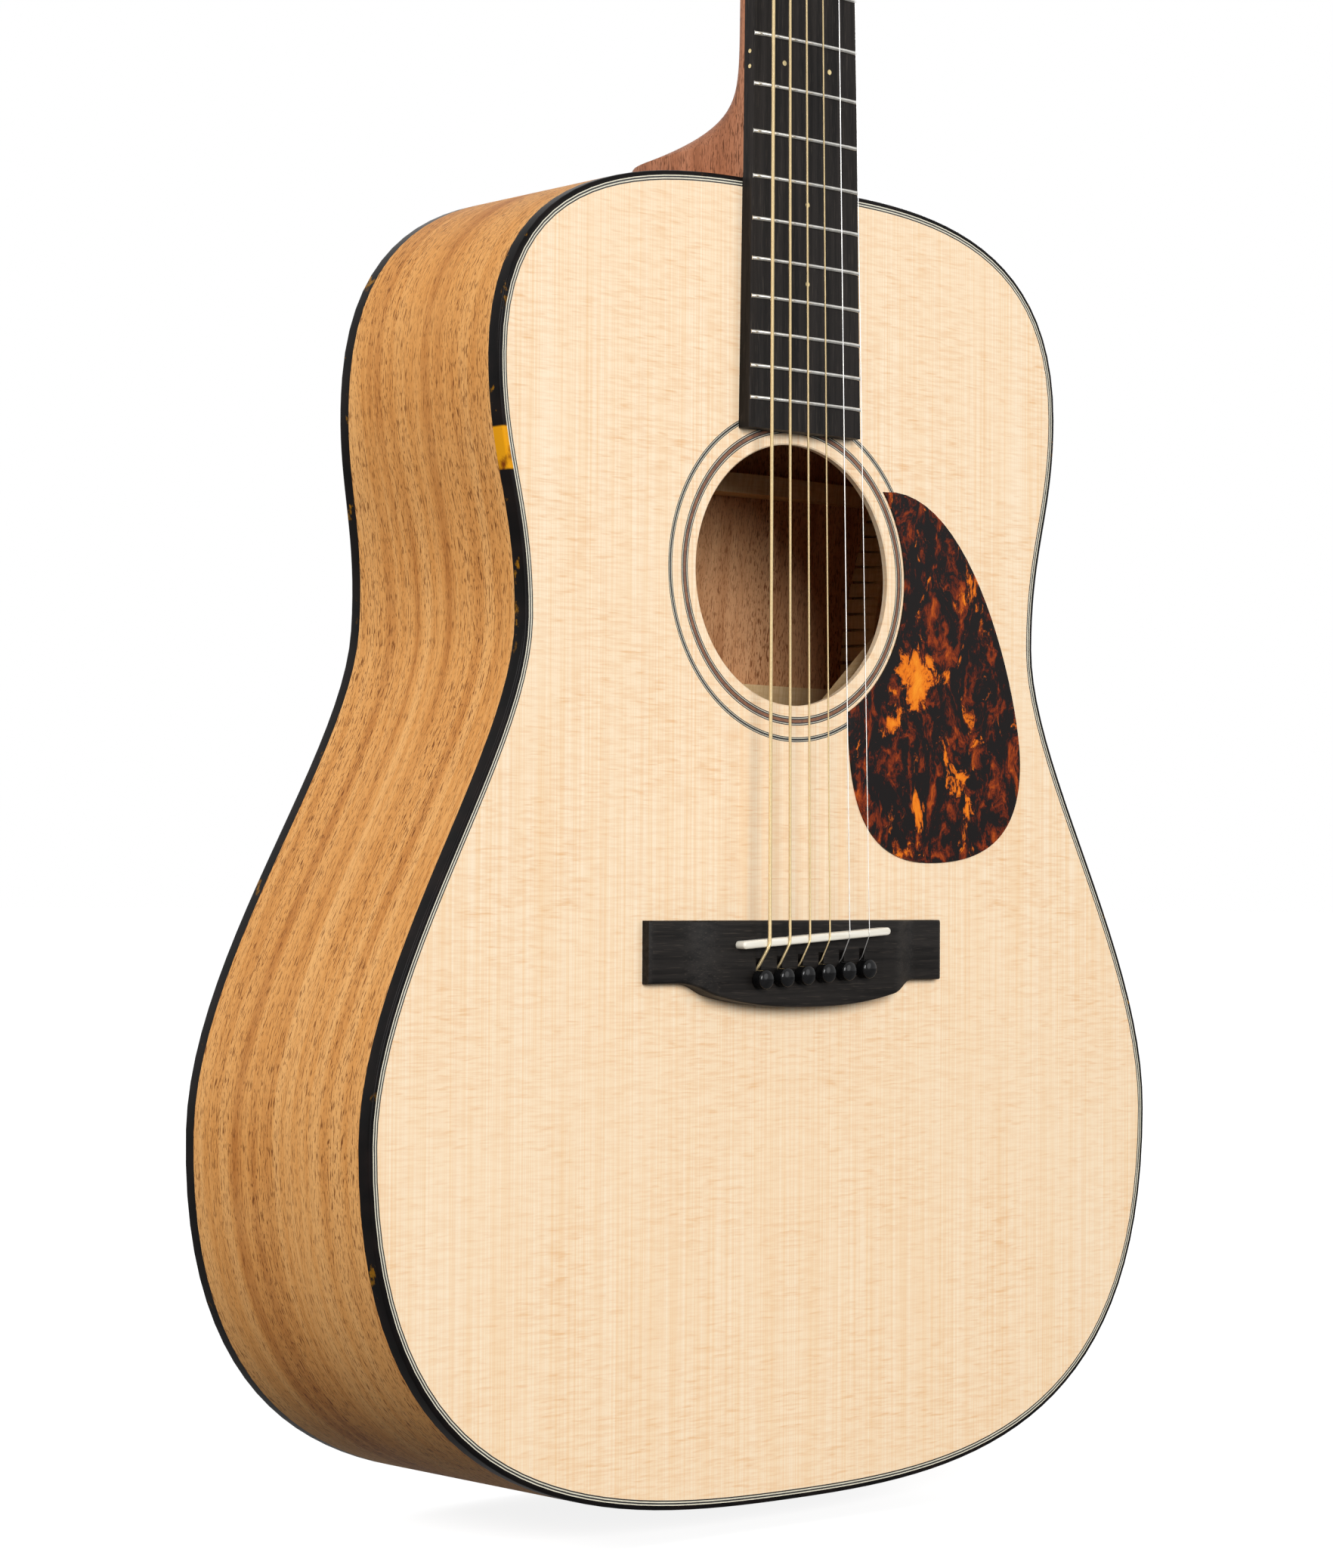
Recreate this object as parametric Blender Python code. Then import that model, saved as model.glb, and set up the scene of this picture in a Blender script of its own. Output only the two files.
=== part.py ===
"""Acoustic guitar with a flat-top body, a dovetailed neck, open-gear tuners and six strings.

Metres, +Z up along the neck, front towards -Y, bass side at -X.
The origin is the middle of the strap button's end face.
"""
import math

import bmesh
import bpy
from mathutils import Matrix, Vector

# General
GAP = 0.0003                     # glue line or running clearance between neighbours

# Body outline, one half of it as four curves from the tail to the neck joint
BODY_LENGTH = 0.5035
LOWER_BOUT = 0.4014
WAIST = 0.2650
UPPER_BOUT = 0.2909
LOWER_BOUT_BELOW_NECK = 0.361
WAIST_BELOW_NECK = 0.1728
UPPER_BOUT_BELOW_NECK = 0.078
TAIL_FLATNESS = 0.0862           # how far each curve keeps its direction at its ends
LOWER_BOUT_TAIL_SHARE = 0.97     # of the way down to the tail
LOWER_BOUT_WAIST_PULL = 0.0643
WAIST_LOWER_PULL = 0.0480
WAIST_UPPER_PULL = 0.0416
UPPER_BOUT_WAIST_PULL = 0.0384
UPPER_BOUT_NECK_PULL = 0.0854
NECK_FLATNESS = 0.045
RIM_STEPS = (10, 6, 5, 8)        # facets on each of the four curves

# Body depth and plates
NECK_DEPTH = 0.089
TAIL_DEPTH = 0.122
BACK_RADIUS = 3.0                # the back is part of a sphere
TOP_THICKNESS = 0.0028
BACK_THICKNESS = 0.0026
SIDE_THICKNESS = 0.0021
BINDING_WIDTH = 0.0021
BINDING_HEIGHT = 0.006
LINING_WIDTH = 0.006
LINING_HEIGHT = 0.014
LINING_EDGE = 0.0015             # width of the lining's thin edge

# Inner frame
NECK_BLOCK_WIDTH = 0.090
NECK_BLOCK_LENGTH = 0.045
TAIL_BLOCK_WIDTH = 0.100
TAIL_BLOCK_LENGTH = 0.018
BRACE_WIDTH = 0.008
BRACE_HEIGHT = 0.016
BRACE_END_HEIGHT = 0.004
BRACE_TAPER = 0.070              # length over which a brace end thins out
TONE_BAR_HEIGHT = 0.0128
TONE_BARS = (                    # each end as shares of half the lower bout and of the way to the tail block
    ("tone_bar_upper", (0.3986, 0.107), (-0.7075, 0.710)),
    ("tone_bar_lower", (0.5580, 0.390), (-0.4285, 0.907)),
)
X_BELOW_NECK = 0.232
X_HALF_ANGLE = math.radians(47)
X_UPPER_LEG = 0.168
X_LOWER_LEG = 0.238
TRANSVERSE_BELOW_NECK = 0.068
BACK_BRACE_SHARES = (0.2066, 0.3774, 0.5799, 0.7944)     # of the body's length, from the neck joint
BACK_BRACE_HEIGHT = 0.013
BRACE_END_CLEARANCE = 0.002
BRIDGE_PLATE_THICKNESS = 0.0025
BRIDGE_PLATE_MARGIN = 0.005      # how far the plate reaches past the bridge, up and down

# Soundhole, rosette and pickguard
HOLE_BELOW_NECK = 0.15015
HOLE_RADIUS = 0.0502
ROSETTE_DEPTH = 0.0012
INNER_RING = (0.0545, 0.0578)
OUTER_RING = (0.0623, 0.0642)
CIRCLE_SIDES = 40
PICKGUARD_THICKNESS = 0.0008
PICKGUARD_ARC_RADIUS = 0.0590
PICKGUARD_ARC_START = math.radians(37)
PICKGUARD_ARC_END = math.radians(-61)
PICKGUARD_BOTTOM = (0.0725, 0.2601)      # across, below the neck joint
PICKGUARD_RIGHT = (0.1246, 0.2200)
PICKGUARD_PULLS = (0.034, 0.036, 0.034, 0.028, 0.026, 0.050)
PICKGUARD_TOP_LIFT = 0.006       # how far the top curve rises before it turns down

# Strap button
BUTTON_PROJECTION = 0.0095
BUTTON_RADIUS = 0.007
BUTTON_WAIST_RADIUS = 0.0045
BUTTON_FLANGE = 0.002
BUTTON_SHANK_RADIUS = 0.0035
BUTTON_SHANK_LENGTH = 0.014      # length inside the tail block

# Scale, neck and fingerboard
SCALE_LENGTH = 0.648
JOINT_FRET = 14
FRET_COUNT = 20
NUT_WIDTH = 0.0447
BOARD_FLARE = 0.0303             # extra board width per metre of length
BOARD_THICKNESS = 0.0062
BOARD_RADIUS = 0.406
BOARD_OVERHANG = 0.0113          # board length past the last fret
NECK_SLOPE = 0.007               # the board falls back by this much per metre towards the nut
FRET_WIDTH = 0.0022
FRET_HEIGHT = 0.0010
NECK_THICKNESS_NUT = 0.0150
NECK_THICKNESS_HEEL = 0.0160
HEEL_REACH = 0.0155              # how far the heel stands out from the body at its foot
HEEL_BLEND = 0.085               # length over which the heel runs into the neck
HEEL_CURVE = 10.0                # how quickly the heel sweeps in
NECK_SECTION = 1.5               # power of the neck's section: 1 is an ellipse, more is a softer V
HEEL_SECTION = 0.55              # the same at the heel's foot, where under 1 is fuller than an ellipse
HEEL_SHORT_OF_BACK = 0.004
TONGUE_MOUTH = 0.020
TONGUE_ROOT = 0.026
TONGUE_LENGTH = 0.022
TONGUE_TOP = 0.015               # below the soundboard's front
TONGUE_BOTTOM = 0.070
TRUSS_ROD_RADIUS = 0.003
TRUSS_ROD_CENTRE = 0.0100        # below the soundboard's front
TRUSS_ROD_SHORT_OF_NUT = 0.018
TRUSS_NUT_RADIUS = 0.0045
TRUSS_NUT_LENGTH = 0.010
TRUSS_SOCKET_RADIUS = 0.0024
TRUSS_SOCKET_DEPTH = 0.005

# Nut and headstock
NUT_LENGTH = 0.006
NUT_STRING_LIFT = 0.0016         # underside of the strings above the board
NUT_OVER_STRINGS = 0.0007
HEAD_ANGLE = math.radians(14)
HEAD_LENGTH = 0.165
HEAD_BASE_WIDTH = 0.060
HEAD_TOP_WIDTH = 0.074
HEAD_SHOULDER = 0.018            # length over which the head widens from the neck
HEAD_THICKNESS = 0.015
HEAD_TOP_RISE = 0.006            # height of the arc at the top edge
HEADPLATE_THICKNESS = 0.0016

# Tuners
POST_X = 0.0225
FIRST_POST = 0.040               # from the nut's back along the head
POST_SPACING = 0.042
POST_RADIUS = 0.0030
POST_ABOVE_FACE = 0.0165
POST_HOLE_RADIUS = 0.0011
POST_HOLE_BELOW_TOP = 0.0035
GEAR_TEETH = 14
WORM_PITCH = 0.0024
WORM_ROOT_RADIUS = 0.0018
WORM_CREST_RADIUS = 0.0031
WORM_TURNS = 3
MESH_CLEARANCE = 0.0003
TOOTH_HEIGHT = 0.0012
TOOTH_ROOT_SHARE = 0.27          # half of a tooth's foot as a share of the pitch
TOOTH_TIP_SHARE = 0.11
THREAD_CREST_SHARE = 0.2         # half of the thread's level crest as a share of half the pitch
THREAD_FLANK_SHARE = 0.5
GEAR_THICKNESS = 0.0034
SHAFT_RADIUS = 0.0015
PLATE_WIDTH = 0.017
PLATE_THICKNESS = 0.0012
PLATE_END = 0.013                # plate length past the first and last tuner
LUG_THICKNESS = 0.0016
LUG_WIDTH = 0.0062
LUG_BELOW_SHAFT = 0.0025
KNOB_STAND_OFF = 0.004           # from the head's widest edge to the knob
KNOB_LENGTH = 0.017
KNOB_HALF_WIDTH = 0.0075
KNOB_HALF_THICKNESS = 0.0038
KNOB_PROFILE = ((0.32, 0.0), (0.36, 0.12), (0.85, 0.35), (1.0, 0.62), (0.9, 0.88), (0.6, 1.0))

# Bridge, saddle and pins
BRIDGE_LENGTH = 0.152
BRIDGE_TOP_BELOW_NECK = 0.2826
BRIDGE_WING_WIDTH = 0.0235
BRIDGE_BELLY = 0.0095            # how far the belly drops below the wings
BELLY_HALF_LENGTH = 0.062
BELLY_EASE = 0.25                # share of the belly that eases into the wing
BELLY_FULLNESS = 2.4
BRIDGE_HEIGHT = 0.0100
BRIDGE_WING_HEIGHT = 0.0046
BRIDGE_FLAT_HALF = 0.044         # half of the level middle part
BRIDGE_EDGE_BEVEL = 0.0008
SADDLE_LENGTH = 0.077
SADDLE_THICKNESS = 0.0030
SADDLE_CREST = 0.0012            # level width left at the rounded top
SADDLE_TOP = 0.0147              # above the soundboard
SADDLE_SLOT_FLOOR = 0.0035
SADDLE_BELOW_NECK = 0.2893       # at the middle
SADDLE_SLANT = 0.0665            # rise per unit length towards the treble side
PIN_BELOW_NECK = 0.3030          # at the middle of the pin line
PIN_SLANT = 0.0632
PIN_SPACING = 0.01076
PIN_HEAD_RADIUS = 0.0037
PIN_HEAD_HEIGHT = 0.0052
PIN_DOME = 0.0013
PIN_SHANK_RADIUS = 0.0028        # at the bridge's top
PIN_TIP_RADIUS = 0.0023
PIN_SHANK_LENGTH = 0.024
PIN_GROOVE_WIDTH = 0.0020
PIN_GROOVE_DEPTH = 0.0021
RAMP_DEPTH = 0.006               # below the bridge's top at the pin
RAMP_SLOPE = 0.86                # run of the ramp for each unit of rise
RAMP_OVER = 0.001

# Strings, from the lowest at the bass side to the highest
STRING_DIAMETERS = (0.00135, 0.00107, 0.00081, 0.00061, 0.00041, 0.00030)
SADDLE_STRING_SPACING = 0.0105
NUT_STRING_SPACING = 0.0072
STRING_TURNS = 2
STRING_TURN_GAP = 0.00045
STRING_START_ABOVE_FACE = 0.0095
STRING_SIDES = 6
LOOP_POINTS = 12

# Levels that follow from the sizes above
TOP_Y = -TAIL_DEPTH / 2
JOINT_Z = BUTTON_PROJECTION + BODY_LENGTH
SLOT_HALF = TONGUE_MOUTH / 2 + GAP
RIM_INSET = max(SIDE_THICKNESS, BINDING_WIDTH) + GAP
INNER_TOP_Y = TOP_Y + TOP_THICKNESS + GAP
BRIDGE_PLATE_BOTTOM = BRIDGE_TOP_BELOW_NECK + BRIDGE_WING_WIDTH + BRIDGE_BELLY + BRIDGE_PLATE_MARGIN
GEAR_RADIUS = GEAR_TEETH * WORM_PITCH / (2 * math.pi)
WORM_PITCH_RADIUS = (WORM_ROOT_RADIUS + WORM_CREST_RADIUS) / 2
MESH_DISTANCE = GEAR_RADIUS + TOOTH_HEIGHT / 2 + WORM_ROOT_RADIUS + MESH_CLEARANCE
PLATE_BACK = -HEAD_THICKNESS - GAP - PLATE_THICKNESS
WORM_LEVEL = PLATE_BACK - GAP - WORM_CREST_RADIUS
WORM_HALF = WORM_PITCH * WORM_TURNS / 2
MIRROR = Matrix.Diagonal((-1, 1, 1, 1))


def clear_scene():
    for obj in list(bpy.data.objects):
        bpy.data.objects.remove(obj, do_unlink=True)


def material(name, colour, roughness, metallic=0.0):
    mat = bpy.data.materials.new(name)
    mat.use_nodes = True
    shader = mat.node_tree.nodes["Principled BSDF"]
    shader.inputs["Base Color"].default_value = (*colour, 1.0)
    shader.inputs["Roughness"].default_value = roughness
    shader.inputs["Metallic"].default_value = metallic
    return mat


def add_mesh(name, bm, mat, parent=None, location=(0, 0, 0), rotation=(0, 0, 0)):
    """Close up a bmesh as a named object with its faces pointing out."""
    bmesh.ops.recalc_face_normals(bm, faces=bm.faces)
    mesh = bpy.data.meshes.new(name)
    bm.to_mesh(mesh)
    bm.free()
    mesh.shade_smooth()
    mesh.set_sharp_from_angle(angle=math.radians(35))
    obj = bpy.data.objects.new(name, mesh)
    bpy.context.scene.collection.objects.link(obj)
    obj.location = location
    obj.rotation_euler = rotation
    obj.parent = parent
    if mat:
        obj.data.materials.append(mat)
    return obj


def add_empty(name, location, rotation):
    empty = bpy.data.objects.new(name, None)
    empty.location = location
    empty.rotation_euler = rotation
    bpy.context.scene.collection.objects.link(empty)
    return empty


def tool(name, bm, parent=None, location=(0, 0, 0), rotation=(0, 0, 0)):
    """A shape that only cuts or joins other objects."""
    obj = add_mesh(name, bm, None, parent, location, rotation)
    obj.hide_render = True
    obj.display_type = "WIRE"
    return obj


def combine(obj, shape, operation="DIFFERENCE"):
    mod = obj.modifiers.new(shape.name, "BOOLEAN")
    mod.operation = operation
    mod.solver = "EXACT"
    mod.object = shape


def skin(bm, rings, closed=False):
    """Join rings of points by faces, with end caps unless the rings close on themselves."""
    loops = [[bm.verts.new(p) for p in ring] for ring in rings]
    count = len(loops[0])
    pairs = list(zip(loops, loops[1:]))
    if closed:
        pairs.append((loops[-1], loops[0]))
    for low, high in pairs:
        for i in range(count):
            j = (i + 1) % count
            bm.faces.new((low[i], low[j], high[j], high[i]))
    if not closed:
        bm.faces.new(loops[0])
        bm.faces.new(loops[-1])
    return bm


def skinned(rings, closed=False):
    return skin(bmesh.new(), rings, closed)


def prism(loop, front_y, back_y):
    """A flat outline in X and Z, given thickness along Y."""
    return skinned([[Vector((x, y, z)) for x, z in loop] for y in (front_y, back_y)])


def box(low, high):
    loop = [(low[0], low[2]), (high[0], low[2]), (high[0], high[2]), (low[0], high[2])]
    return prism(loop, low[1], high[1])


def circle(radius, sides=CIRCLE_SIDES):
    angles = [2 * math.pi * i / sides for i in range(sides)]
    return [(radius * math.cos(a), radius * math.sin(a)) for a in angles]


def turned(profile, sides):
    """A profile of (radius, height) turned about Z."""
    return skinned([[Vector((x, y, height)) for x, y in circle(radius, sides)] for radius, height in profile])


def ring_solid(inner, outer, front_y, back_y, centre_z):
    """A flat ring round the soundhole's axis."""
    rings = []
    for (xi, zi), (xo, zo) in zip(circle(inner), circle(outer)):
        rings.append([Vector((xo, front_y, centre_z + zo)), Vector((xi, front_y, centre_z + zi)),
                      Vector((xi, back_y, centre_z + zi)), Vector((xo, back_y, centre_z + zo))])
    return skinned(rings, closed=True)


def tube(name, points, radius, mat):
    """A round wire along points that already follow a smooth route."""
    curve = bpy.data.curves.new(name, "CURVE")
    curve.dimensions = "3D"
    curve.bevel_depth = radius
    curve.bevel_resolution = STRING_SIDES // 2 - 2
    curve.use_fill_caps = True
    spline = curve.splines.new("POLY")
    spline.points.add(len(points) - 1)
    for place, point in zip(spline.points, points):
        place.co = (*point, 1.0)
    obj = bpy.data.objects.new(name, curve)
    bpy.context.scene.collection.objects.link(obj)
    curve.materials.append(mat)
    return obj


def cubic(p0, p1, p2, p3, t):
    s = 1 - t
    point = p0 * s ** 3 + p1 * 3 * s * s * t + p2 * 3 * s * t * t + p3 * t ** 3
    slope = (p1 - p0) * 3 * s * s + (p2 - p1) * 6 * s * t + (p3 - p2) * 3 * t * t
    return point, slope


def smooth_step(t):
    t = min(max(t, 0.0), 1.0)
    return t * t * (3 - 2 * t)


def rim_samples():
    """The treble half of the outline from tail to neck, each as (point, inward direction)."""
    tail = Vector((0, BUTTON_PROJECTION))
    lower = Vector((LOWER_BOUT / 2, JOINT_Z - LOWER_BOUT_BELOW_NECK))
    waist = Vector((WAIST / 2, JOINT_Z - WAIST_BELOW_NECK))
    upper = Vector((UPPER_BOUT / 2, JOINT_Z - UPPER_BOUT_BELOW_NECK))
    neck = Vector((0, JOINT_Z))
    right = Vector((1, 0))
    up = Vector((0, 1))
    tail_pull = LOWER_BOUT_TAIL_SHARE * (lower.y - tail.y)
    curves = (
        (tail, tail + right * TAIL_FLATNESS, lower - up * tail_pull, lower),
        (lower, lower + up * LOWER_BOUT_WAIST_PULL, waist - up * WAIST_LOWER_PULL, waist),
        (waist, waist + up * WAIST_UPPER_PULL, upper - up * UPPER_BOUT_WAIST_PULL, upper),
        (upper, upper + up * UPPER_BOUT_NECK_PULL, neck + right * NECK_FLATNESS, neck),
    )
    samples = []
    for curve, steps in zip(curves, RIM_STEPS):
        for step in range(steps):
            point, slope = cubic(*curve, step / steps)
            slope.normalize()
            samples.append((point, Vector((-slope.y, slope.x))))
    samples.append((neck, -up))
    return samples


def rim_span(tail_x, neck_x, inset):
    """The part of the half outline whose ends, when inset, lie at these distances from the middle."""
    across = [(p + n * inset).x for p, n in RIM]
    first = next(i for i, x in enumerate(across) if x > tail_x)
    last = max(i for i, x in enumerate(across) if x > neck_x)

    def between(low, high, x):
        t = (x - across[low]) / (across[high] - across[low])
        return RIM[low][0].lerp(RIM[high][0], t), RIM[low][1].lerp(RIM[high][1], t).normalized()

    start = between(first - 1, first, tail_x)
    end = between(last, last + 1, neck_x)
    return [start] + RIM[first:last + 1] + [end]


def inset_half(inset):
    return [p + n * inset for p, n in RIM]


def rim_loop(inset):
    """The whole outline, moved inwards, as one closed loop of (x, z)."""
    half = inset_half(inset)
    right = [(p.x, p.y) for p in half]
    left = [(-p.x, p.y) for p in reversed(half[1:-1])]
    return right + left


def half_width(z, inset):
    """Half of the body's width at a level, inside the given inset."""
    half = inset_half(inset)
    for low, high in zip(half, half[1:]):
        if low.y <= z <= high.y:
            return low.x + (high.x - low.x) * (z - low.y) / (high.y - low.y)
    return 0.0


def back_y(x, z):
    """The outer face of the domed back."""
    below = JOINT_Z - z
    flat = NECK_DEPTH + (TAIL_DEPTH - NECK_DEPTH) * below / BODY_LENGTH
    from_middle = below - BODY_LENGTH / 2
    dome = ((BODY_LENGTH / 2) ** 2 - from_middle ** 2 - x * x) / (2 * BACK_RADIUS)
    return TOP_Y + flat + dome


def back_inside_y(x, z):
    return back_y(x, z) - BACK_THICKNESS - GAP


def fret_distance(number):
    return SCALE_LENGTH * (1 - 2 ** (-number / 12))


def along_neck(distance):
    """The level of a point at a distance from the nut."""
    return JOINT_Z + fret_distance(JOINT_FRET) - distance


def board_top_y(distance):
    rise = GAP + BOARD_THICKNESS + NECK_SLOPE * (distance - fret_distance(JOINT_FRET))
    return TOP_Y - rise


def board_half(distance):
    return (NUT_WIDTH + BOARD_FLARE * distance) / 2


def board_crown(x):
    """How far the rounded board falls back at x from its middle."""
    return (x * x) / (2 * BOARD_RADIUS)


def glue_y(distance):
    """The flat face of the neck under the board."""
    return board_top_y(distance) + BOARD_THICKNESS + GAP


def string_x(index, spacing):
    return (index - (len(STRING_DIAMETERS) - 1) / 2) * spacing


def pin_place(index):
    x = string_x(index, PIN_SPACING)
    return x, JOINT_Z - PIN_BELOW_NECK + PIN_SLANT * x


def saddle_level(x):
    return JOINT_Z - SADDLE_BELOW_NECK + SADDLE_SLANT * x


def on_both_sides(name, rings, mat):
    """The same strip on the bass and the treble side."""
    for side, turn in (("bass", MIRROR), ("treble", Matrix())):
        add_mesh(f"{name}_{side}", skinned([[turn @ p for p in ring] for ring in rings]), mat)


def make_sides(mat):
    rings = []
    front = TOP_Y + BINDING_HEIGHT + GAP
    for p, n in rim_span(GAP / 2, SLOT_HALF, SIDE_THICKNESS):
        inner = p + n * SIDE_THICKNESS
        rear = back_y(p.x, p.y) - BINDING_HEIGHT - GAP
        corners = ((p, front), (inner, front), (inner, rear), (p, rear))
        rings.append([Vector((q.x, y, q.y)) for q, y in corners])
    on_both_sides("side", rings, mat)
    shank = button_shank(BUTTON_SHANK_RADIUS + GAP, "side_hole")
    for side in ("side_bass", "side_treble"):
        combine(bpy.data.objects[side], shank)


def make_bindings(mat):
    half = [(p, p + n * BINDING_WIDTH) for p, n in RIM]
    whole = half + [(Vector((-p.x, p.y)), Vector((-q.x, q.y))) for p, q in reversed(half[1:-1])]
    top = []
    back = []
    low = TOP_Y + BINDING_HEIGHT
    for p, q in whole:
        edge = back_y(p.x, p.y)
        high = edge - BINDING_HEIGHT
        front_corners = ((p, TOP_Y), (q, TOP_Y), (q, low), (p, low))
        back_corners = ((p, high), (q, high), (q, back_y(q.x, q.y)), (p, edge))
        top.append([Vector((c.x, y, c.y)) for c, y in front_corners])
        back.append([Vector((c.x, y, c.y)) for c, y in back_corners])
    add_mesh("top_binding", skinned(top, closed=True), mat)
    add_mesh("back_binding", skinned(back, closed=True), mat)


def make_linings(mat):
    top = []
    back = []
    low = INNER_TOP_Y + LINING_HEIGHT
    reach = RIM_INSET + LINING_WIDTH
    for p, n in rim_span(TAIL_BLOCK_WIDTH / 2 + GAP, NECK_BLOCK_WIDTH / 2 + GAP, reach):
        outer = p + n * RIM_INSET
        wide = p + n * reach
        thin = p + n * (RIM_INSET + LINING_EDGE)
        top_corners = ((outer, INNER_TOP_Y), (wide, INNER_TOP_Y), (thin, low), (outer, low))
        back_drops = ((outer, LINING_HEIGHT), (thin, LINING_HEIGHT), (wide, 0), (outer, 0))
        top.append([Vector((q.x, y, q.y)) for q, y in top_corners])
        back.append([Vector((q.x, back_inside_y(q.x, q.y) - drop, q.y)) for q, drop in back_drops])
    on_both_sides("top_lining", top, mat)
    on_both_sides("back_lining", back, mat)


def make_soundboard(mat):
    plate = prism(rim_loop(BINDING_WIDTH + GAP), TOP_Y, TOP_Y + TOP_THICKNESS)
    board = add_mesh("soundboard", plate, mat)
    centre_z = JOINT_Z - HOLE_BELOW_NECK
    loop = [(x, centre_z + z) for x, z in circle(HOLE_RADIUS)]
    combine(board, tool("hole_cut", prism(loop, TOP_Y - TOP_THICKNESS, TOP_Y + 2 * TOP_THICKNESS)))
    floor = TOP_Y + ROSETTE_DEPTH + GAP
    for name, (inner, outer) in (("inner", INNER_RING), ("outer", OUTER_RING)):
        groove = ring_solid(inner - GAP, outer + GAP, TOP_Y - ROSETTE_DEPTH, floor, centre_z)
        combine(board, tool(f"{name}_groove", groove))
    combine(board, bpy.data.objects["pin_holes"])


def make_rosette(mat):
    for name, (inner, outer) in (("inner", INNER_RING), ("outer", OUTER_RING)):
        ring = ring_solid(inner, outer, TOP_Y, TOP_Y + ROSETTE_DEPTH, JOINT_Z - HOLE_BELOW_NECK)
        add_mesh(f"rosette_{name}", ring, mat)


def make_back(mat):
    """Rows of points across the domed back, with single points at the tail and the neck."""
    columns = 6
    bm = bmesh.new()
    half = inset_half(BINDING_WIDTH + GAP)
    faces = []
    for depth in (0.0, BACK_THICKNESS):
        rows = []
        for p in half:
            steps = [0.0] if p.x < GAP else [2 * j / columns - 1 for j in range(columns + 1)]
            rows.append([bm.verts.new((p.x * s, back_y(p.x * s, p.y) - depth, p.y)) for s in steps])
        faces.append(rows)
    for rows in faces:
        for low, high in zip(rows, rows[1:]):
            for j in range(columns):
                corners = [low[min(j, len(low) - 1)], low[min(j + 1, len(low) - 1)],
                           high[min(j + 1, len(high) - 1)], high[min(j, len(high) - 1)]]
                bm.faces.new(list(dict.fromkeys(corners)))
    for edge in (0, -1):
        for outer, inner in zip(zip(faces[0], faces[0][1:]), zip(faces[1], faces[1][1:])):
            bm.faces.new((outer[0][edge], outer[1][edge], inner[1][edge], inner[0][edge]))
    add_mesh("back", bm, mat)


def block_loop(width, length, at_neck):
    """The outline of an end block that follows the rim on its outer side."""
    half = inset_half(RIM_INSET)
    end = half[::-1] if at_neck else half
    side = []
    for p, q in zip(end, end[1:]):
        side.append((p.x, p.y))
        if q.x > width / 2:
            t = (width / 2 - p.x) / (q.x - p.x)
            side.append((width / 2, p.y + (q.y - p.y) * t))
            break
    inner = end[0].y - length if at_neck else end[0].y + length
    right = side + [(width / 2, inner)]
    return right + [(-x, z) for x, z in reversed(right[1:])]


def make_blocks(mat):
    for name, width, length, at_neck in (("neck_block", NECK_BLOCK_WIDTH, NECK_BLOCK_LENGTH, True),
                                         ("tail_block", TAIL_BLOCK_WIDTH, TAIL_BLOCK_LENGTH, False)):
        loop = block_loop(width, length, at_neck)
        rings = [[Vector((x, INNER_TOP_Y, z)) for x, z in loop],
                 [Vector((x, back_inside_y(x, z), z)) for x, z in loop]]
        add_mesh(name, skinned(rings), mat)
    pocket = tool("dovetail_pocket", tongue(GAP, INNER_TOP_Y - TOP_THICKNESS))
    combine(bpy.data.objects["neck_block"], pocket)
    combine(bpy.data.objects["neck_block"], tool("rod_hole", truss_rod_shape(TRUSS_ROD_RADIUS + GAP)))
    combine(bpy.data.objects["tail_block"], button_shank(BUTTON_SHANK_RADIUS + GAP, "block_hole"))


def button_shank(radius, name):
    """The strap button's hole, from outside the rim to past the shank's end."""
    end = BUTTON_PROJECTION + RIM_INSET + BUTTON_SHANK_LENGTH + GAP
    return tool(name, turned([(radius, BUTTON_PROJECTION - BUTTON_FLANGE), (radius, end)], 16))


def make_strap_button(mat):
    base = BUTTON_PROJECTION - GAP
    end = BUTTON_PROJECTION + RIM_INSET + BUTTON_SHANK_LENGTH
    edge = BUTTON_FLANGE / 4
    profile = [(BUTTON_RADIUS - edge, 0.0), (BUTTON_RADIUS, edge), (BUTTON_RADIUS, BUTTON_FLANGE),
               (BUTTON_WAIST_RADIUS, BUTTON_FLANGE * 2), (BUTTON_WAIST_RADIUS, base - BUTTON_FLANGE * 1.5),
               (BUTTON_RADIUS, base - BUTTON_FLANGE / 2), (BUTTON_RADIUS, base),
               (BUTTON_SHANK_RADIUS, base), (BUTTON_SHANK_RADIUS, end)]
    add_mesh("strap_button", turned(profile, 16), mat)


def brace_bar(length_low, length_high, height, lap=None):
    """A bar along local Z on local Y = 0, thinned at both ends, with a lap notch at z = 0 if asked."""
    taper = min(BRACE_TAPER, (length_low + length_high) / 3)
    half = BRACE_WIDTH / 2
    notch = half + GAP
    low_end = (-length_low, BRACE_END_HEIGHT)
    high_end = (length_high, BRACE_END_HEIGHT)
    inner = [low_end, (-length_low + taper, height), (length_high - taper, height), high_end]
    outer = [(length_high, 0.0), (-length_low, 0.0)]
    if lap == "inner":
        cut = (height - GAP) / 2
        inner[2:2] = [(-notch, height), (-notch, cut), (notch, cut), (notch, height)]
    if lap == "outer":
        cut = (height + GAP) / 2
        outer[1:1] = [(notch, 0.0), (notch, cut), (-notch, cut), (-notch, 0.0)]
    loop = inner + outer
    return skinned([[Vector((x, y, z)) for z, y in loop] for x in (-half, half)])


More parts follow.
